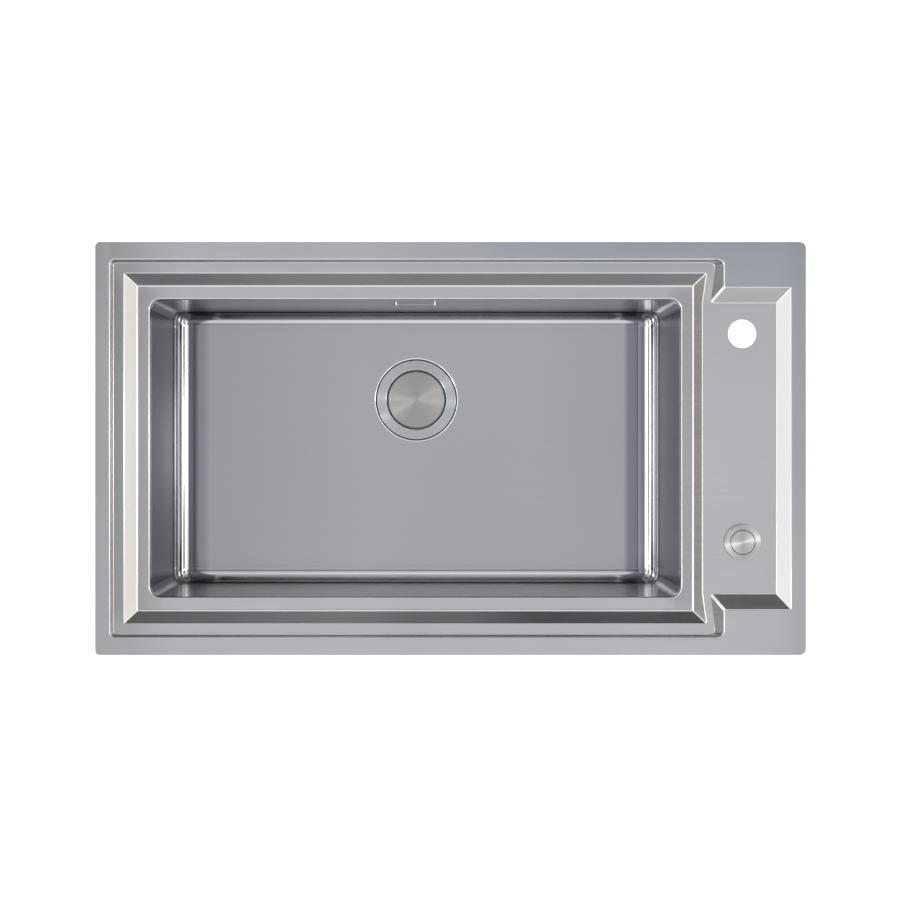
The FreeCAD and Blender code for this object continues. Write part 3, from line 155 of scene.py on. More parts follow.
def brushed(name, rough=(0.15, 0.19), aniso=0.5, tone=STEEL, dark=STEEL_DARK, walls=None, end_wall_light=STEEL, sides=STEEL, bend_highlight=STEEL,
            across=(0.01, 1.0, 0.2), scratch=0.03, edge=1.0, painted_end_falloff=(), wall_reflection_strips=None, ring=None, creases=None, painted_light_patches=()):
    """Steel with a straight brush grain along X, or level all round on upright walls."""
    t = Tree(name)

    def grain(stretch):
        m = t.mapping(stretch)
        fine, streak = t.noise(m, 2600, 2.0, 0.6), t.noise(m, 430, 3.0, 0.55)
        return t.math("ADD", t.math("MULTIPLY", fine.outputs["Fac"], 0.55), t.math("MULTIPLY", streak.outputs["Fac"], 0.45))

    lines = grain((0.012, 1.0, 0.012))
    geometry = t.add("ShaderNodeNewGeometry")
    parts = t.add("ShaderNodeSeparateXYZ")
    t.link(geometry, "Normal", parts, "Vector")
    place = t.add("ShaderNodeSeparateXYZ")
    t.link(t.mapping((1, 1, 1)), "Vector", place, "Vector")
    inward = t.math("LESS_THAN", t.math("MULTIPLY", parts.outputs["Y"], place.outputs["Y"]), 0.0)
    if walls:
        upright = t.ramp(t.math("ABSOLUTE", parts.outputs["Z"]), 0.05, 0.25, 1.0, 0.0)
        facing = t.ramp(t.math("ABSOLUTE", parts.outputs["Y"]), 0.6, 0.8)
        level = grain((0.012, 0.012, 1.0))
        lines = t.math("ADD", t.math("MULTIPLY", lines, t.math("SUBTRACT", 1.0, facing)), t.math("MULTIPLY", level, facing))
    cloud = t.noise(t.mapping((1, 1, 1)), 5.5, 2.0, 0.5)
    gloss = t.ramp(lines, 0.3, 0.7, rough[0], rough[1])
    if walls:
        gloss = t.math("ADD", gloss, t.math("MULTIPLY", upright, t.ramp(facing, 0.0, 1.0, walls[1], walls[0])))
    t.to(gloss, "Roughness")
    shade = t.math("ADD", t.math("MULTIPLY", lines, 0.6), t.math("MULTIPLY", cloud.outputs["Fac"], 0.4))
    colour = t.mix(t.ramp(shade, 0.35, 0.65), dark, tone)
    if walls:
        # the upright walls are brushed the other way; besides, painted light makes the two end walls lighter,
        # painted shade makes the side walls darker, and the bends along the two ends get a painted highlight
        highlight_bend_mask = t.ramp(t.math("SUBTRACT", t.math("ABSOLUTE", parts.outputs["X"]), t.math("ABSOLUTE", parts.outputs["Y"])), 0.1, 0.25)
        level_off = t.math("SUBTRACT", 1.0, upright)
        for painted_wall_tone, part in ((end_wall_light, t.math("MULTIPLY", t.math("MULTIPLY", upright, facing), inward)),
                           (sides, t.math("MULTIPLY", upright, t.math("SUBTRACT", 1.0, facing))),
                           (bend_highlight, t.math("MULTIPLY", level_off, highlight_bend_mask))):
            turn = t.add("ShaderNodeMix", data_type="RGBA")
            t.nt.links.new(part, turn.inputs["Factor"])
            t.nt.links.new(colour, turn.inputs[6])
            turn.inputs[7].default_value = (*painted_wall_tone, 1)
            colour = turn.outputs[2]
    # painted shade: the colour is darkened towards the ends in X
    for x0, x1, f0, f1 in painted_end_falloff:
        falloff_shade = t.add("ShaderNodeMix", data_type="RGBA", blend_type="MULTIPLY")
        falloff_shade.inputs["Factor"].default_value = 1.0
        t.nt.links.new(colour, falloff_shade.inputs[6])
        t.nt.links.new(t.ramp(place.outputs["X"], x0, x1, f0, f1), falloff_shade.inputs[7])
        colour = falloff_shade.outputs[2]
    flat = t.ramp(t.math("ABSOLUTE", parts.outputs["Z"]), 0.9, 0.97)
    to_y = t.math("MULTIPLY", t.ramp(t.math("ABSOLUTE", parts.outputs["Y"]), 0.5, 0.6), inward)
    to_x = t.ramp(t.math("ABSOLUTE", parts.outputs["X"]), 0.5, 0.6)
    for kind, (xa, xb, xc, xd), (ya, yb, yc, yd), painted_tint in painted_light_patches:
        # painted light and shade: chosen flats and slopes, picked by which way they face and where they lie, are
        # painted lighter or darker
        part = {"flat": flat, "to_y": to_y, "to_x": to_x}[kind]
        for axis, a, b, c, d in (("X", xa, xb, xc, xd), ("Y", ya, yb, yc, yd)):
            part = t.math("MULTIPLY", part, t.math("MULTIPLY", t.ramp(place.outputs[axis], a, b), t.ramp(place.outputs[axis], c, d, 1.0, 0.0)))
        brush = t.add("ShaderNodeMix", data_type="RGBA", blend_type="MULTIPLY")
        t.nt.links.new(part, brush.inputs["Factor"])
        t.nt.links.new(colour, brush.inputs[6])
        brush.inputs[7].default_value = (*painted_tint, 1)
        colour = brush.outputs[2]
    if wall_reflection_strips:
        # painted reflection: beside the two end bends the floor is painted darker, as if it mirrored the dark wall
        level = t.ramp(t.math("ABSOLUTE", parts.outputs["Z"]), 0.9, 0.97)
        (a0, a1, a2), (b0, b1, b2), painted_tint = wall_reflection_strips
        at_left = t.math("MULTIPLY", t.math("GREATER_THAN", place.outputs["X"], a0), t.ramp(place.outputs["X"], a1, a2, 0.72, 0.0))
        at_right = t.math("MULTIPLY", t.math("LESS_THAN", place.outputs["X"], b0), t.ramp(place.outputs["X"], b2, b1, 0.0, 1.0))
        painted_reflection_strip = t.add("ShaderNodeMix", data_type="RGBA")
        t.nt.links.new(t.math("MULTIPLY", level, t.math("ADD", at_left, at_right)), painted_reflection_strip.inputs["Factor"])
        t.nt.links.new(colour, painted_reflection_strip.inputs[6])
        painted_reflection_strip.inputs[7].default_value = (*painted_tint, 1)
        colour = painted_reflection_strip.outputs[2]
    if ring:
        # the narrow gap round the waste flange is painted as shade, and the pressed edge round it gets a painted
        # highlight
        centre, gap, painted_highlight_edge = ring
        x, y = t.math("SUBTRACT", place.outputs["X"], centre[0]), t.math("SUBTRACT", place.outputs["Y"], centre[1])
        away = t.math("SQRT", t.math("ADD", t.math("MULTIPLY", x, x), t.math("MULTIPLY", y, y)))
        for inner, outer, painted_tint in ((gap - 0.004, gap, (0.06, 0.06, 0.062)), (gap + 0.0001, painted_highlight_edge, (0.78, 0.78, 0.80))):
            band = t.add("ShaderNodeMix", data_type="RGBA")
            t.nt.links.new(t.math("MULTIPLY", t.math("GREATER_THAN", away, inner), t.math("LESS_THAN", away, outer)), band.inputs["Factor"])
            t.nt.links.new(colour, band.inputs[6])
            band.inputs[7].default_value = (*painted_tint, 1)
            colour = band.outputs[2]
    t.to(colour, "Base Color")
    t.set(Metallic=1.0, Anisotropic=aniso, Specular_Tint=(edge, edge, edge, 1))
    direction = t.add("ShaderNodeCombineXYZ")
    for k in range(3):
        direction.inputs[k].default_value = across[k]
    if walls:
        t.nt.links.new(t.ramp(upright, 0.0, 1.0, across[1], 0.0), direction.inputs["Y"])
        t.nt.links.new(t.ramp(upright, 0.0, 1.0, across[2], 1.0), direction.inputs["Z"])
    t.link(direction, "Vector", t.bsdf, "Tangent")
    fine = t.bump(lines, scratch, 0.00002)
    if creases:
        # the end bends are pressed in a few strokes, which leave shallow creases along them
        middle, half, height, count, depth = creases
        u = t.math("SUBTRACT", t.math("ABSOLUTE", t.math("SUBTRACT", place.outputs["X"], middle)), half)
        v = t.math("SUBTRACT", height, place.outputs["Z"])
        turn = t.math("MINIMUM", t.math("MAXIMUM", t.math("ARCTAN2", v, u), 0.0), math.pi / 2)
        wave = t.add("ShaderNodeBump")
        wave.inputs["Strength"].default_value = 1.0
        wave.inputs["Distance"].default_value = depth
        t.nt.links.new(t.math("COSINE", t.math("MULTIPLY", turn, 4.0 * count)), wave.inputs["Height"])
        t.link(fine, "Normal", wave, "Normal")
        t.link(wave, "Normal", t.bsdf, "Normal")
    return t.mat


def spun(name, centre, rough=(0.36, 0.42), aniso=1.0, ring=5200, tone=STEEL, dark=STEEL_DARK, edge=1.0):
    """Steel turned on a lathe: fine rings about an upright axis through the centre."""
    t = Tree(name)
    m = t.mapping((1, 1, 1), location=(-centre[0], -centre[1], 0))
    parts = t.add("ShaderNodeSeparateXYZ")
    t.link(m, "Vector", parts, "Vector")
    x, y = parts.outputs["X"], parts.outputs["Y"]
    radius = t.math("SQRT", t.math("ADD", t.math("MULTIPLY", x, x), t.math("MULTIPLY", y, y)))
    along = t.add("ShaderNodeCombineXYZ")
    t.nt.links.new(radius, along.inputs["X"])
    rings = t.add("ShaderNodeTexNoise")
    rings.inputs["Scale"].default_value = ring
    rings.inputs["Detail"].default_value = 2.0
    t.link(along, "Vector", rings, "Vector")
    t.to(t.ramp(rings.outputs["Fac"], 0.3, 0.7, rough[0], rough[1]), "Roughness")
    t.to(t.mix(t.ramp(rings.outputs["Fac"], 0.3, 0.7), dark, tone), "Base Color")
    tangent = t.add("ShaderNodeCombineXYZ")
    t.nt.links.new(x, tangent.inputs["X"])
    t.nt.links.new(y, tangent.inputs["Y"])
    t.link(tangent, "Vector", t.bsdf, "Tangent")
    t.set(Metallic=1.0, Anisotropic=aniso, Specular_Tint=(edge, edge, edge, 1))
    t.bump(rings.outputs["Fac"], 0.05, 0.00003)
    return t.mat


def plain_metal(name, tone, dark, rough=(0.2, 0.35), grain=900, bump=0.12, edge=1.0):
    t = Tree(name)
    n = t.noise(t.mapping((1, 1, 1)), grain, 4.0, 0.6)
    c = t.noise(t.mapping((1, 1, 1)), 40, 3.0, 0.5)
    both = t.math("ADD", t.math("MULTIPLY", n.outputs["Fac"], 0.5), t.math("MULTIPLY", c.outputs["Fac"], 0.5))
    t.to(t.ramp(both, 0.35, 0.65, rough[0], rough[1]), "Roughness")
    t.to(t.mix(t.ramp(both, 0.35, 0.65), dark, tone), "Base Color")
    t.set(Metallic=1.0, Specular_Tint=(edge, edge, edge, 1))
    t.bump(n.outputs["Fac"], bump, 0.00005)
    return t.mat


def polymer(name, tone, dark, rough=(0.35, 0.5), grain=1400, bump=0.15, depth=0.00008, sheen=0.0, specular=0.5):
    t = Tree(name)
    n = t.noise(t.mapping((1, 1, 1)), grain, 4.0, 0.6)
    c = t.noise(t.mapping((1, 1, 1)), 22, 3.0, 0.5)
    t.to(t.ramp(n.outputs["Fac"], 0.3, 0.7, rough[0], rough[1]), "Roughness")
    both = t.math("ADD", t.math("MULTIPLY", n.outputs["Fac"], 0.4), t.math("MULTIPLY", c.outputs["Fac"], 0.6))
    t.to(t.mix(t.ramp(both, 0.35, 0.65), dark, tone), "Base Color")
    t.set(**{"Specular_IOR_Level": specular})
    if sheen:
        t.set(Sheen_Weight=sheen)
    t.bump(n.outputs["Fac"], bump, depth)
    return t.mat


def foam(name, tone, dark):
    t = Tree(name)
    v = t.add("ShaderNodeTexVoronoi")
    v.inputs["Scale"].default_value = 1500
    t.link(t.mapping((1, 1, 1)), "Vector", v, "Vector")
    t.to(t.mix(t.ramp(v.outputs["Distance"], 0.0, 0.7), dark, tone), "Base Color")
    t.set(Roughness=0.9)
    t.bump(v.outputs["Distance"], 0.5, 0.0002)
    return t.mat


WASTE = (-0.0428, 0.0644)
KNOB = (0.356, -0.1143)
MATS = {
    "brushed_top": brushed("steel_brushed_top", rough=(0.165, 0.225), aniso=0.6, tone=(0.512, 0.517, 0.527), dark=(0.463, 0.468, 0.478),
                           # painted shade darkens the deck towards both ends
                           painted_end_falloff=((-0.39, -0.33, 0.87, 1.0), (0.395, 0.42, 1.0, 0.94)),
                           # painted light and shade on chosen ledges and slopes of the deck
                           painted_light_patches=(("flat", (-0.4145, -0.4095, -0.39, -0.35), (-0.225, -0.195, 0.195, 0.225), (0.80, 0.79, 0.79)),
                                    ("flat", (0.262, 0.28, 0.296, 0.306), (-0.205, -0.185, 0.185, 0.205), (0.80, 0.79, 0.81)),
                                    ("flat", (-0.5, -0.49, -0.4145, -0.41), (0.0, 0.12, 0.3, 0.4), (1.13, 1.13, 1.13)),
                                    ("flat", (-0.1, 0.1, 0.5, 0.6), (0.2265, 0.2305, 0.3, 0.4), (0.855, 0.88, 0.935)),
                                    ("flat", (0.329, 0.334, 0.5, 0.6), (0.17, 0.2, 0.2265, 0.2305), (0.855, 0.88, 0.935)),
                                    ("flat", (0.411, 0.415, 0.5, 0.6), (-0.16, 0.0, 0.17, 0.2), (0.85, 0.865, 0.91)),
                                    ("to_y", (-0.5, -0.45, -0.33, -0.2), (-0.3, -0.29, 0.29, 0.3), (0.77, 0.77, 0.77)),
                                    ("to_y", (-0.12, -0.04, 0.12, 0.2), (-0.3, -0.29, -0.1, 0.0), (0.80, 0.80, 0.80)),
                                    ("to_x", (-0.5, -0.45, -0.382, -0.378), (-0.3, -0.29, 0.29, 0.3), (1.19, 1.15, 1.09)),
                                    ("to_x", (0.292, 0.296, 0.309, 0.313), (-0.3, -0.29, 0.29, 0.3), (0.985, 0.93, 0.875)))),
    "bowl_steel": brushed("steel_bowl", rough=(0.085, 0.11), aniso=0.7, tone=(0.41, 0.405, 0.42), dark=(0.39, 0.385, 0.40),
                          # the end wall, side wall and bend colours below are painted light, painted shade and a
                          # painted highlight
                          walls=(0.12, 0.22), end_wall_light=(0.77, 0.79, 0.83), sides=(0.31, 0.318, 0.366), bend_highlight=(0.72, 0.72, 0.74), across=(0.01, 1.0, 0.08), scratch=0.02, edge=0.62,
                          # painted shade darkens the bowl towards both ends
                          painted_end_falloff=((-0.34, -0.12, 0.85, 1.0), (0.12, 0.30, 1.0, 0.9)), ring=(WASTE, 0.0547, 0.0564),
                          # painted reflection of the dark walls on the floor beside the end bends
                          wall_reflection_strips=((-0.345, -0.331, -0.322), (0.2575, 0.2445, 0.2375), (0.205, 0.21, 0.245)),
                          creases=(-0.04275, 0.30525, -0.198, 4, 0.00022),
                          # painted light and shade on chosen parts of the bowl, with painted highlights along the bends
                          painted_light_patches=(("to_y", (-0.5, -0.45, 0.4, 0.5), (-0.3, -0.29, -0.1, 0.0), (1.25, 1.24, 1.20)),
                                   ("to_x", (-0.5, -0.45, -0.2, -0.1), (-0.3, -0.2, 0.1, 0.16), (0.86, 0.86, 0.86)),
                                   ("flat", (0.2565, 0.258, 0.2632, 0.266), (-0.187, -0.184, 0.184, 0.187), (1.9, 1.9, 1.9)),
                                   ("to_x", (0.26, 0.262, 0.2785, 0.281), (-0.3, -0.29, 0.29, 0.3), (1.3, 1.3, 1.3)),
                                   ("flat", (-0.3565, -0.3535, -0.3465, -0.345), (-0.187, -0.184, 0.184, 0.187), (1.25, 1.25, 1.25)))),
    "polished_steel": plain_metal("steel_polished", (0.56, 0.56, 0.565), (0.50, 0.50, 0.51), rough=(0.10, 0.18), bump=0.04),
    "zinc_steel": plain_metal("steel_zinc_plated", (0.56, 0.565, 0.57), (0.42, 0.43, 0.45), rough=(0.28, 0.45), grain=500, bump=0.2),
    "brass_fitting": plain_metal("brass_nickelled", (0.62, 0.58, 0.48), (0.55, 0.5, 0.40), rough=(0.15, 0.3)),
    "black_rubber": polymer("rubber_black", (0.035, 0.035, 0.036), (0.022, 0.022, 0.023), rough=(0.5, 0.7), grain=2200, bump=0.25),
    "black_foam": foam("foam_black", (0.05, 0.05, 0.052), (0.012, 0.012, 0.013)),
    "grey_rubber": polymer("sound_pad_grey", (0.16, 0.165, 0.17), (0.11, 0.112, 0.118), rough=(0.6, 0.85), grain=700, bump=0.6, depth=0.0003),
    "white_plastic": polymer("plastic_white", (0.80, 0.80, 0.78), (0.74, 0.74, 0.72), rough=(0.32, 0.42), bump=0.06),
    "grey_plastic": polymer("plastic_grey", (0.30, 0.31, 0.32), (0.25, 0.255, 0.265), rough=(0.35, 0.5), bump=0.12),
    "black_plastic": polymer("plastic_black", (0.03, 0.03, 0.031), (0.02, 0.02, 0.021), rough=(0.35, 0.5), bump=0.1),
}
MATS["spun_cap"] = spun("steel_spun_cap", WASTE, rough=(0.33, 0.39), aniso=0.9, tone=(0.41, 0.405, 0.395), dark=(0.345, 0.34, 0.335))
MATS["spun_flange"] = spun("steel_spun_flange", WASTE, rough=(0.2, 0.26), tone=(0.46, 0.47, 0.485), dark=(0.44, 0.45, 0.465), edge=0.5)
MATS["spun_knob"] = spun("steel_spun_knob", KNOB, tone=(0.49, 0.495, 0.505), dark=(0.43, 0.435, 0.445))
MATS["dark_steel"] = plain_metal("steel_in_shade", (0.30, 0.30, 0.305), (0.26, 0.26, 0.265), rough=(0.2, 0.3), bump=0.04, edge=0.5)


# ----------------------------------------------------------------- mesh tools
def corner_normals(me, sharp_deg=33.0, same_deg=0.2):
    """One normal per face corner: smooth over every join flatter than sharp_deg, led by the largest flat area."""
    bm = bmesh.new()
    bm.from_mesh(me)
    bm.faces.ensure_lookup_table()
    bm.normal_update()
    n = len(bm.faces)
    parent = list(range(n))

    def find(a):
        while parent[a] != a:
            parent[a] = parent[parent[a]]
            a = parent[a]
        return a

    same, sharp = math.cos(math.radians(same_deg)), math.cos(math.radians(sharp_deg))
    smooth_edges = set()
    for e in bm.edges:
        if len(e.link_faces) == 2:
            a, b = e.link_faces
            d = a.normal.dot(b.normal)
            if d > same:
                parent[find(a.index)] = find(b.index)
            if d > sharp:
                smooth_edges.add(e.index)
    area = {}
    for f in bm.faces:
        r = find(f.index)
        area[r] = area.get(r, 0.0) + f.calc_area()
    weight = [max(area[find(i)], 1e-12) ** 2 for i in range(n)]
    loop_normals = [None] * sum(len(f.loops) for f in bm.faces)
    index_of = {}
    k = 0
    for f in bm.faces:
        for l in f.loops:
            index_of[l] = k
            k += 1
    for v in bm.verts:
        left = set(v.link_loops)
        while left:
            start = left.pop()
            fan, queue = [start], [start]
            while queue:
                l = queue.pop()
                for e in (l.edge, l.link_loop_prev.edge):
                    if e.index not in smooth_edges:
                        continue
                    for f in e.link_faces:
                        if f is l.face:
                            continue
                        for m in f.loops:
                            if m.vert is v and m in left:
                                left.discard(m)
                                fan.append(m)
                                queue.append(m)
            total = Vector((0, 0, 0))
            for l in fan:
                total += l.face.normal * (l.calc_angle() * weight[l.face.index])
            total = total.normalized() if total.length > 0 else fan[0].face.normal.copy()
            for l in fan:
                loop_normals[index_of[l]] = total
    bm.free()
    return loop_normals


def shade(me, sharp_deg=33.0):
    me.polygons.foreach_set("use_smooth", [True] * len(me.polygons))
    me.normals_split_custom_set([tuple(v) for v in corner_normals(me, sharp_deg)])


def finish_piece(obj, body, mat=None, replaces=()):
    if mat is not None:
        obj.data.materials.clear()
        obj.data.materials.append(mat)
    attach(obj, body)
    if replaces:
        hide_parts(*replaces)
    return obj


def inner_faces(bm, reach=6e-6):
    """The faces where two solids of one sheet meet: each lies on another that faces it."""
    bm.normal_update()
    bm.faces.ensure_lookup_table()
    tree = BVHTree.FromBMesh(bm)
    inner, groups = set(), ([], [], [])
    for f in bm.faces:
        for axis in range(3):
            if abs(f.normal[axis]) > 0.9995:
                groups[axis].append((f, f.normal[axis] > 0))
                break
        else:
            for _, _, index, _ in tree.find_nearest_range(f.calc_center_median(), reach):
                if index != f.index and bm.faces[index].normal.dot(f.normal) < -0.999:
                    inner.add(f)
                    break
    for axis, members in enumerate(groups):
        u, v = [k for k in range(3) if k != axis]
        at = np.array([[[w.co[axis], w.co[u], w.co[v]] for w in f.verts] for f, _ in members], dtype=np.float64)
        side = np.array([s for _, s in members])
        level = at[:, :, 0].mean(axis=1)
        a, b, c = at[:, 0, 1:], at[:, 1, 1:], at[:, 2, 1:]
        area = (b[:, 0] - a[:, 0]) * (c[:, 1] - a[:, 1]) - (b[:, 1] - a[:, 1]) * (c[:, 0] - a[:, 0])
        for k, (f, s) in enumerate(members):
            near = (np.abs(level - level[k]) < reach) & (side != s) & (np.abs(area) > 1e-14)
            if not near.any():
                continue
            p = at[k, :, 1:].mean(axis=0)
            A, B, C, D = a[near], b[near], c[near], area[near]
            w0 = ((B[:, 0] - p[0]) * (C[:, 1] - p[1]) - (B[:, 1] - p[1]) * (C[:, 0] - p[0])) / D
            w1 = ((C[:, 0] - p[0]) * (A[:, 1] - p[1]) - (C[:, 1] - p[1]) * (A[:, 0] - p[0])) / D
            if ((w0 > -1e-6) & (w1 > -1e-6) & (w0 + w1 < 1 + 1e-6)).any():
                inner.add(f)
    return list(inner)


def share_corners(bm, reach=8e-6):
    """Splits each open edge where a corner of the neighbouring part lies on it, so that both parts share the corner."""
    for _ in range(3):
        border = [e for e in bm.edges if len(e.link_faces) == 1]
        corners = list({v for e in border for v in e.verts})
        if not corners:
            return
        where = np.array([v.co for v in corners], dtype=np.float64)
        done = 0
        for e in border:
            a, b = e.verts
            p, q = np.array(a.co, dtype=np.float64), np.array(b.co, dtype=np.float64)
            length = np.linalg.norm(q - p)
            if length < 4 * reach:
                continue
            t = (where - p) @ (q - p) / length ** 2
            off = np.linalg.norm(where - p - t[:, None] * (q - p), axis=1)
            last, edge, start = 0.0, e, a
            for h in sorted(t[(off < reach) & (t * length > 2 * reach) & ((1 - t) * length > 2 * reach)]):
                if (h - last) * length < 2 * reach:
                    continue
                new_edge, vert = bmesh.utils.edge_split(edge, start, (h - last) / (1 - last))
                edge = edge if b in edge.verts else new_edge
                start, last = vert, h
                done += 1
        bmesh.ops.remove_doubles(bm, verts=bm.verts, dist=reach)
        if not done:
            return


def join_sheet(bm):
    """Makes one closed skin out of a sheet that is written as touching solids."""
    bmesh.ops.delete(bm, geom=inner_faces(bm), context="FACES")
    bmesh.ops.remove_doubles(bm, verts=bm.verts, dist=8e-6)
    bmesh.ops.delete(bm, geom=[v for v in bm.verts if not v.link_faces], context="VERTS")
    share_corners(bm)
    loose = list({v for e in bm.edges if len(e.link_faces) == 1 for v in e.verts})
    bmesh.ops.remove_doubles(bm, verts=loose, dist=2e-5)
    bmesh.ops.holes_fill(bm, edges=[e for e in bm.edges if len(e.link_faces) == 1], sides=8)


def punch_plate(bm, level, depth):
    """A flat plate of even depth in Y, from the outline of the side that lies at the given level."""
    side = [f for f in bm.faces if f.normal.y < -0.999 and abs(f.calc_center_median().y - level) < 1e-5]
    keep = set(side)
    bmesh.ops.delete(bm, geom=[f for f in bm.faces if f not in keep], context="FACES")
    bmesh.ops.remove_doubles(bm, verts=bm.verts, dist=8e-6)
    share_corners(bm)
    back = bmesh.ops.duplicate(bm, geom=bm.verts[:] + bm.edges[:] + bm.faces[:])
    twin = back["vert_map"]
    outline = [e for e in bm.edges if len(e.link_faces) == 1 and e.verts[0] in twin and e not in back["geom"]]
    walls = []
    for e in outline:
        face = e.link_faces[0]
        a, b = next((l.vert, l.link_loop_next.vert) for l in face.loops if l.edge is e)
        walls.append((b, a, twin[a], twin[b]))
    moved = [g for g in back["geom"] if isinstance(g, bmesh.types.BMVert)]
    for v in moved:
        v.co.y += depth
    bmesh.ops.reverse_faces(bm, faces=[g for g in back["geom"] if isinstance(g, bmesh.types.BMFace)])
    for quad in walls:
        bm.faces.new(quad)
    bm.normal_update()


def round_edges(bm, width):
    """Takes the sharpness off the hard edges of a closed piece."""
    bm.normal_update()
    bmesh.ops.dissolve_limit(bm, angle_limit=math.radians(0.6), verts=bm.verts, edges=bm.edges, use_dissolve_boundaries=False)
    hard = [e for e in bm.edges if len(e.link_faces) == 2 and e.calc_face_angle(0) > math.radians(35)]
    bmesh.ops.bevel(bm, geom=hard, offset=width, offset_type="OFFSET", segments=2, profile=0.5, affect="EDGES",
                    clamp_overlap=True, harden_normals=False)
    bmesh.ops.remove_doubles(bm, verts=bm.verts, dist=1e-6)


def skin(node, mat=None, sharp_deg=33.0, suffix="_skin"):
    """The node's own faces, joined up and shaded without seams."""
    me = NODES[node].data.copy()
    me.name = node + suffix
    if me.has_custom_normals:
        me.attributes.remove(me.attributes["custom_normal"])
    bm = bmesh.new()
    bm.from_mesh(me)
    if node in SPLIT_SHEETS:
        join_sheet(bm)
        print(node, "open edges", sum(1 for e in bm.edges if len(e.link_faces) != 2))
    elif node == "overflow_gasket":
        bm.normal_update()
        punch_plate(bm, min(v.co.y for v in bm.verts), max(v.co.y for v in bm.verts) - min(v.co.y for v in bm.verts))
        print(node, "open edges", sum(1 for e in bm.edges if len(e.link_faces) != 2), "volume", bm.calc_volume(signed=True) * 1e9)
    else:
        bmesh.ops.remove_doubles(bm, verts=bm.verts, dist=2e-6)
        if softness(node):
            round_edges(bm, softness(node) * MM)
    bmesh.ops.dissolve_degenerate(bm, edges=bm.edges, dist=1e-7)
    bm.to_mesh(me)
    bm.free()
    shade(me, sharp_deg)
    obj = bpy.data.objects.new(node + suffix, me)
    scene.collection.objects.link(obj)
    return finish_piece(obj, BODY_OF[node], mat or MATS[SLOT_OF[node]], [node])


SPLIT_SHEETS = ("deck", "bowl")
SOFTNESS = {"clip_rails": 0.4, "clip_brackets": 0.3, "clip_claw": 0.4, "clip_screw": 0.2, "clip_pivot_pins": 0.2,
            "tap_hole_plate": 0.3, "waste_lock_nut": 0.5, "waste_body": 0.5, "overflow_elbow": 0.5, "hose_clamps": 0.2,
            "knob_nut": 0.3, "knob_washer": 0.15, "knob_housing": 0.4, "knob_end_cap": 0.4, "cable_gland_nut": 0.3,
            "floor_sound_pads": 0.6, "wall_sound_pads": 0.6, "overflow_cover": 0.3, "overflow_screws": 0.15,
            "button_stem": 0.2, "plug_nut": 0.3, "plug_seal": 0.2, "plug_stem": 0.2, "lift_rocker": 0.3, "lift_pin": 0.2,
            "cable_push_rod": 0.2, "rocker_pivot_pin": 0.2, "flange_gasket": 0.2, "waste_body_seal": 0.2,
            "knob_gasket": 0.15, "sealing_tape": 0.5}


def softness(node):
    return next((SOFTNESS[k] for k in sorted(SOFTNESS, key=len, reverse=True) if node.startswith(k)), 0.0)


def ribbed_hose(node, mat):
    """The overflow hose: down from the elbow, round a bend and forward to the waste, ribbed between two plain ends."""
    x, y0, y1, z0, z1 = -42.8, 203.0, 109.4, -98.0, -280.0
    bend, outer, groove, bore, pitch, cuff, n = 70.0, 12.5, 11.3, 10.6, 4.2, 22.0, 40
    down, turn = z0 - (z1 + bend), bend * math.pi / 2
    total = down + turn + (y0 - bend - y1)

    def at(s):
        if s <= down:
            return Vector((x, y0, z0 - s)), Vector((0, 0, -1))
        if s <= down + turn:
            a = (s - down) / bend
            return Vector((x, y0 - bend + bend * math.cos(a), z1 + bend - bend * math.sin(a))), Vector((0, -math.sin(a), -math.cos(a)))
        return Vector((x, y0 - bend - (s - down - turn), z1)), Vector((0, -1, 0))

    def radius(s):
        ribs = round((total - 2 * cuff) / pitch)
        if s <= cuff or s >= total - cuff:
            return outer
        return outer - (outer - groove) * 0.5 * (1 - math.cos(2 * math.pi * ribs * (s - cuff) / (total - 2 * cuff)))

    steps = 360
    outside = [(total * k / steps, radius(total * k / steps)) for k in range(steps + 1)]
    inside = [(total * k / 90, bore) for k in range(90, -1, -1)]
    verts, faces = [], []
    for s, rad in outside + inside:
        p, along = at(s)
        side = along.cross(Vector((1, 0, 0)))
        for k in range(n):
            a = 2 * math.pi * k / n
            verts.append((p + (Vector((1, 0, 0)) * math.cos(a) + side * math.sin(a)) * rad) * MM)
    rows = len(outside) + len(inside)
    for j in range(rows):
        for k in range(n):
            a, b = j * n + k, j * n + (k + 1) % n
            c, d = (j + 1) % rows * n + (k + 1) % n, (j + 1) % rows * n + k
            faces.append((a, b, c, d))
    me = bpy.data.meshes.new(node + "_ribbed")
    me.from_pydata(verts, [], faces)
    bm = bmesh.new()
    bm.from_mesh(me)
    bmesh.ops.recalc_face_normals(bm, faces=bm.faces)
    if bm.calc_volume(signed=True) < 0:
        bmesh.ops.reverse_faces(bm, faces=bm.faces)
    bm.to_mesh(me)
    bm.free()
    shade(me, 50.0)
    obj = bpy.data.objects.new(node + "_ribbed", me)
    scene.collection.objects.link(obj)
    return finish_piece(obj, BODY_OF[node], mat, [node])


FINISH = {"plug_cap": "spun_cap", "waste_flange": "spun_flange", "push_button": "spun_knob", "knob_bezel": "spun_knob",
          "strainer_basket": "dark_steel", "overflow_cover": "bowl_steel"}
for name in sorted(NODES):
    if name == "overflow_hose":
        ribbed_hose(name, MATS[SLOT_OF[name]])
    else:
        skin(name, MATS.get(FINISH.get(name)))

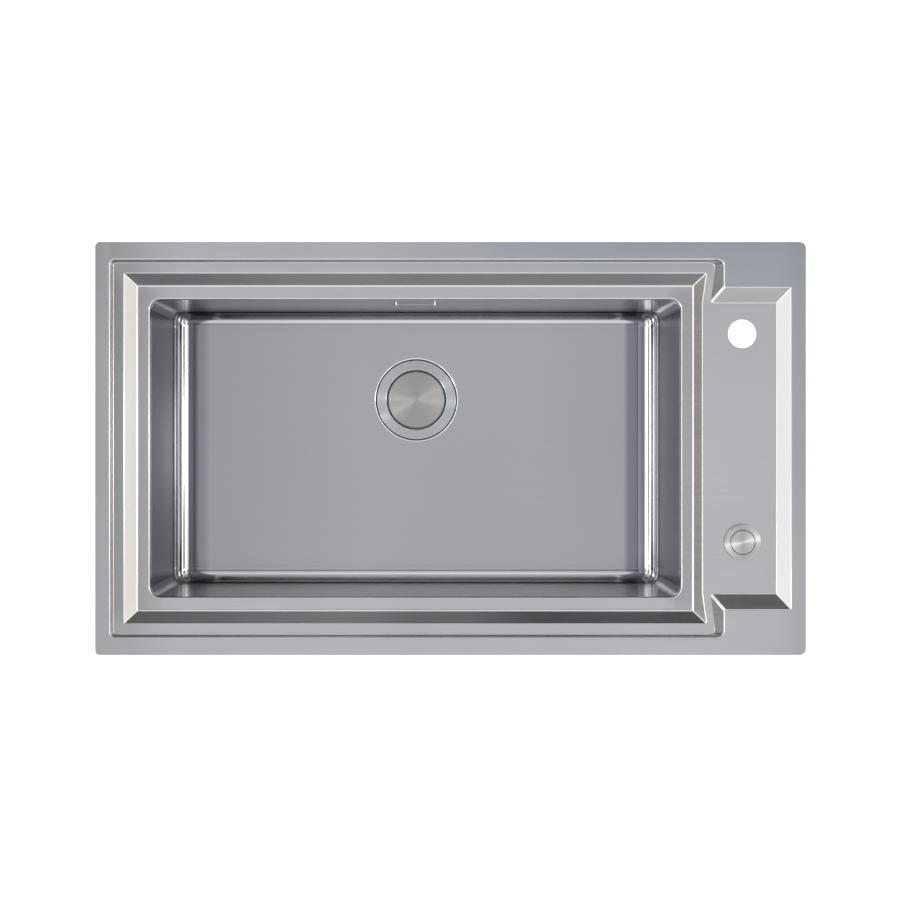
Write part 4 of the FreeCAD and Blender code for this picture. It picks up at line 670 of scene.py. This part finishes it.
# --------------------------------------------------------------------- studio
floor_mesh = bpy.data.meshes.new("studio_floor")
FLOOR_Z = cad_box[0][2] - 0.0005
floor_mesh.from_pydata([(-6, -6, FLOOR_Z), (6, -6, FLOOR_Z), (6, 6, FLOOR_Z), (-6, 6, FLOOR_Z)], [], [(0, 1, 2, 3)])
floor = bpy.data.objects.new("studio_floor", floor_mesh)
scene.collection.objects.link(floor)
t = Tree("floor_pale")
t.set(**{"Base Color": (0.93, 0.93, 0.93, 1), "Roughness": 0.8, "Emission Color": (1, 1, 1, 1), "Emission Strength": 0.3})
side = t.add("ShaderNodeNewGeometry")
clear = t.add("ShaderNodeBsdfTransparent")
either = t.add("ShaderNodeMixShader")
t.link(side, "Backfacing", either, "Fac")
t.nt.links.new(t.bsdf.outputs["BSDF"], either.inputs[1])
t.nt.links.new(clear.outputs["BSDF"], either.inputs[2])
t.link(either, "Shader", t.out, "Surface")
floor_mesh.materials.append(t.mat)

world = bpy.data.worlds.new("studio_world")
scene.world = world
world.use_nodes = True
world.node_tree.nodes["Background"].inputs[0].default_value = (1, 1, 1, 1)
world.node_tree.nodes["Background"].inputs[1].default_value = 0.30


def softbox(name, at, aim, size, radiance):
    light = bpy.data.lights.new(name, "AREA")
    light.shape = "RECTANGLE"
    light.size, light.size_y = size
    light.energy = radiance * size[0] * size[1] * math.pi
    light.normalize = True
    o = bpy.data.objects.new(name, light)
    o.location = at
    o.rotation_euler = (Vector(aim) - Vector(at)).to_track_quat("-Z", "Y").to_euler()
    scene.collection.objects.link(o)
    return o


def panel(name, azimuth, low, high, width, distance, radiance, about=(0, 0, 0)):
    """A softbox round the object: azimuth 0 is to the right and 90 to the wall side, and it
    covers the heights from low to high degrees above the horizon as seen from about."""
    mid, half = math.radians((low + high) / 2), math.radians((high - low) / 2)
    a = math.radians(azimuth)
    away = Vector((math.cos(a) * math.cos(mid), math.sin(a) * math.cos(mid), math.sin(mid)))
    return softbox(name, Vector(about) + away * distance, about, (width, 2 * distance * math.tan(half)), radiance)


WARM, COOL = (1.0, 0.975, 0.94), (0.975, 0.985, 1.015)
panel("light_left", 180, 12.2, 53, 4.6, 2.9, 1.75, about=(0.35, 0, 0))
panel("light_right", 0, 8.5, 52, 4.6, 2.9, 1.5, about=(-0.38, 0, 0)).data.color = WARM
panel("light_front", -90, 14, 50, 4.2, 2.9, 0.75, about=(0, 0.2, 0))
panel("light_rear", 90, 24, 50, 4.2, 2.9, 0.5, about=(0, -0.2, 0))
panel("light_front_high", -90, 34, 66, 4.2, 2.7, 0.75)
panel("light_rear_high", 90, 34, 66, 4.2, 2.7, 0.75)
panel("strip_right", 0, 22, 62, 0.3, 2.6, 4.5)
panel("strip_left", 203, 22, 62, 0.3, 2.6, 4.5)
above = softbox("light_above", (0.085, -0.2, 3.3), (0.085, -0.2, 0), (2.6, 2.1), 0.655)
above.rotation_euler[2] = math.radians(-6)
above.data.color = COOL

# a black card behind, right of the middle, as photographers use to darken one side's reflections
card_mesh = bpy.data.meshes.new("studio_card")
card_mesh.from_pydata([(0.05, 2.5, -0.35), (2.4, 2.5, -0.35), (2.4, 2.5, 0.62), (0.25, 2.5, 0.62),
                         (0.75, 2.5, 0.62), (2.4, 2.5, 1.15), (0.75, 2.5, 1.15)], [], [(0, 1, 2, 4, 3), (4, 2, 5, 6)])
card = bpy.data.objects.new("studio_card", card_mesh)
scene.collection.objects.link(card)
t = Tree("card_black")
t.set(**{"Base Color": (0.02, 0.02, 0.022, 1), "Roughness": 0.9})
card_mesh.materials.append(t.mat)

camera = bpy.data.objects.new("camera", bpy.data.cameras.new("camera"))
camera.location = (-0.0291, 0.0121, 0.002 + 1.850)
camera.rotation_euler = (0, 0, 0)
camera.data.sensor_width = 36
camera.data.lens = 1529 / 900 * 36
camera.data.shift_x = (450 - 426.5) / 900
camera.data.shift_y = (438.5 - 450) / 900
camera.data.clip_start, camera.data.clip_end = 0.05, 50
scene.collection.objects.link(camera)
scene.camera = camera

scene.view_settings.view_transform = "Standard"
scene.view_settings.look = "None"
scene.cycles.max_bounces = 12
scene.cycles.glossy_bounces = 8
scene.cycles.diffuse_bounces = 4

bpy.context.view_layer.update()
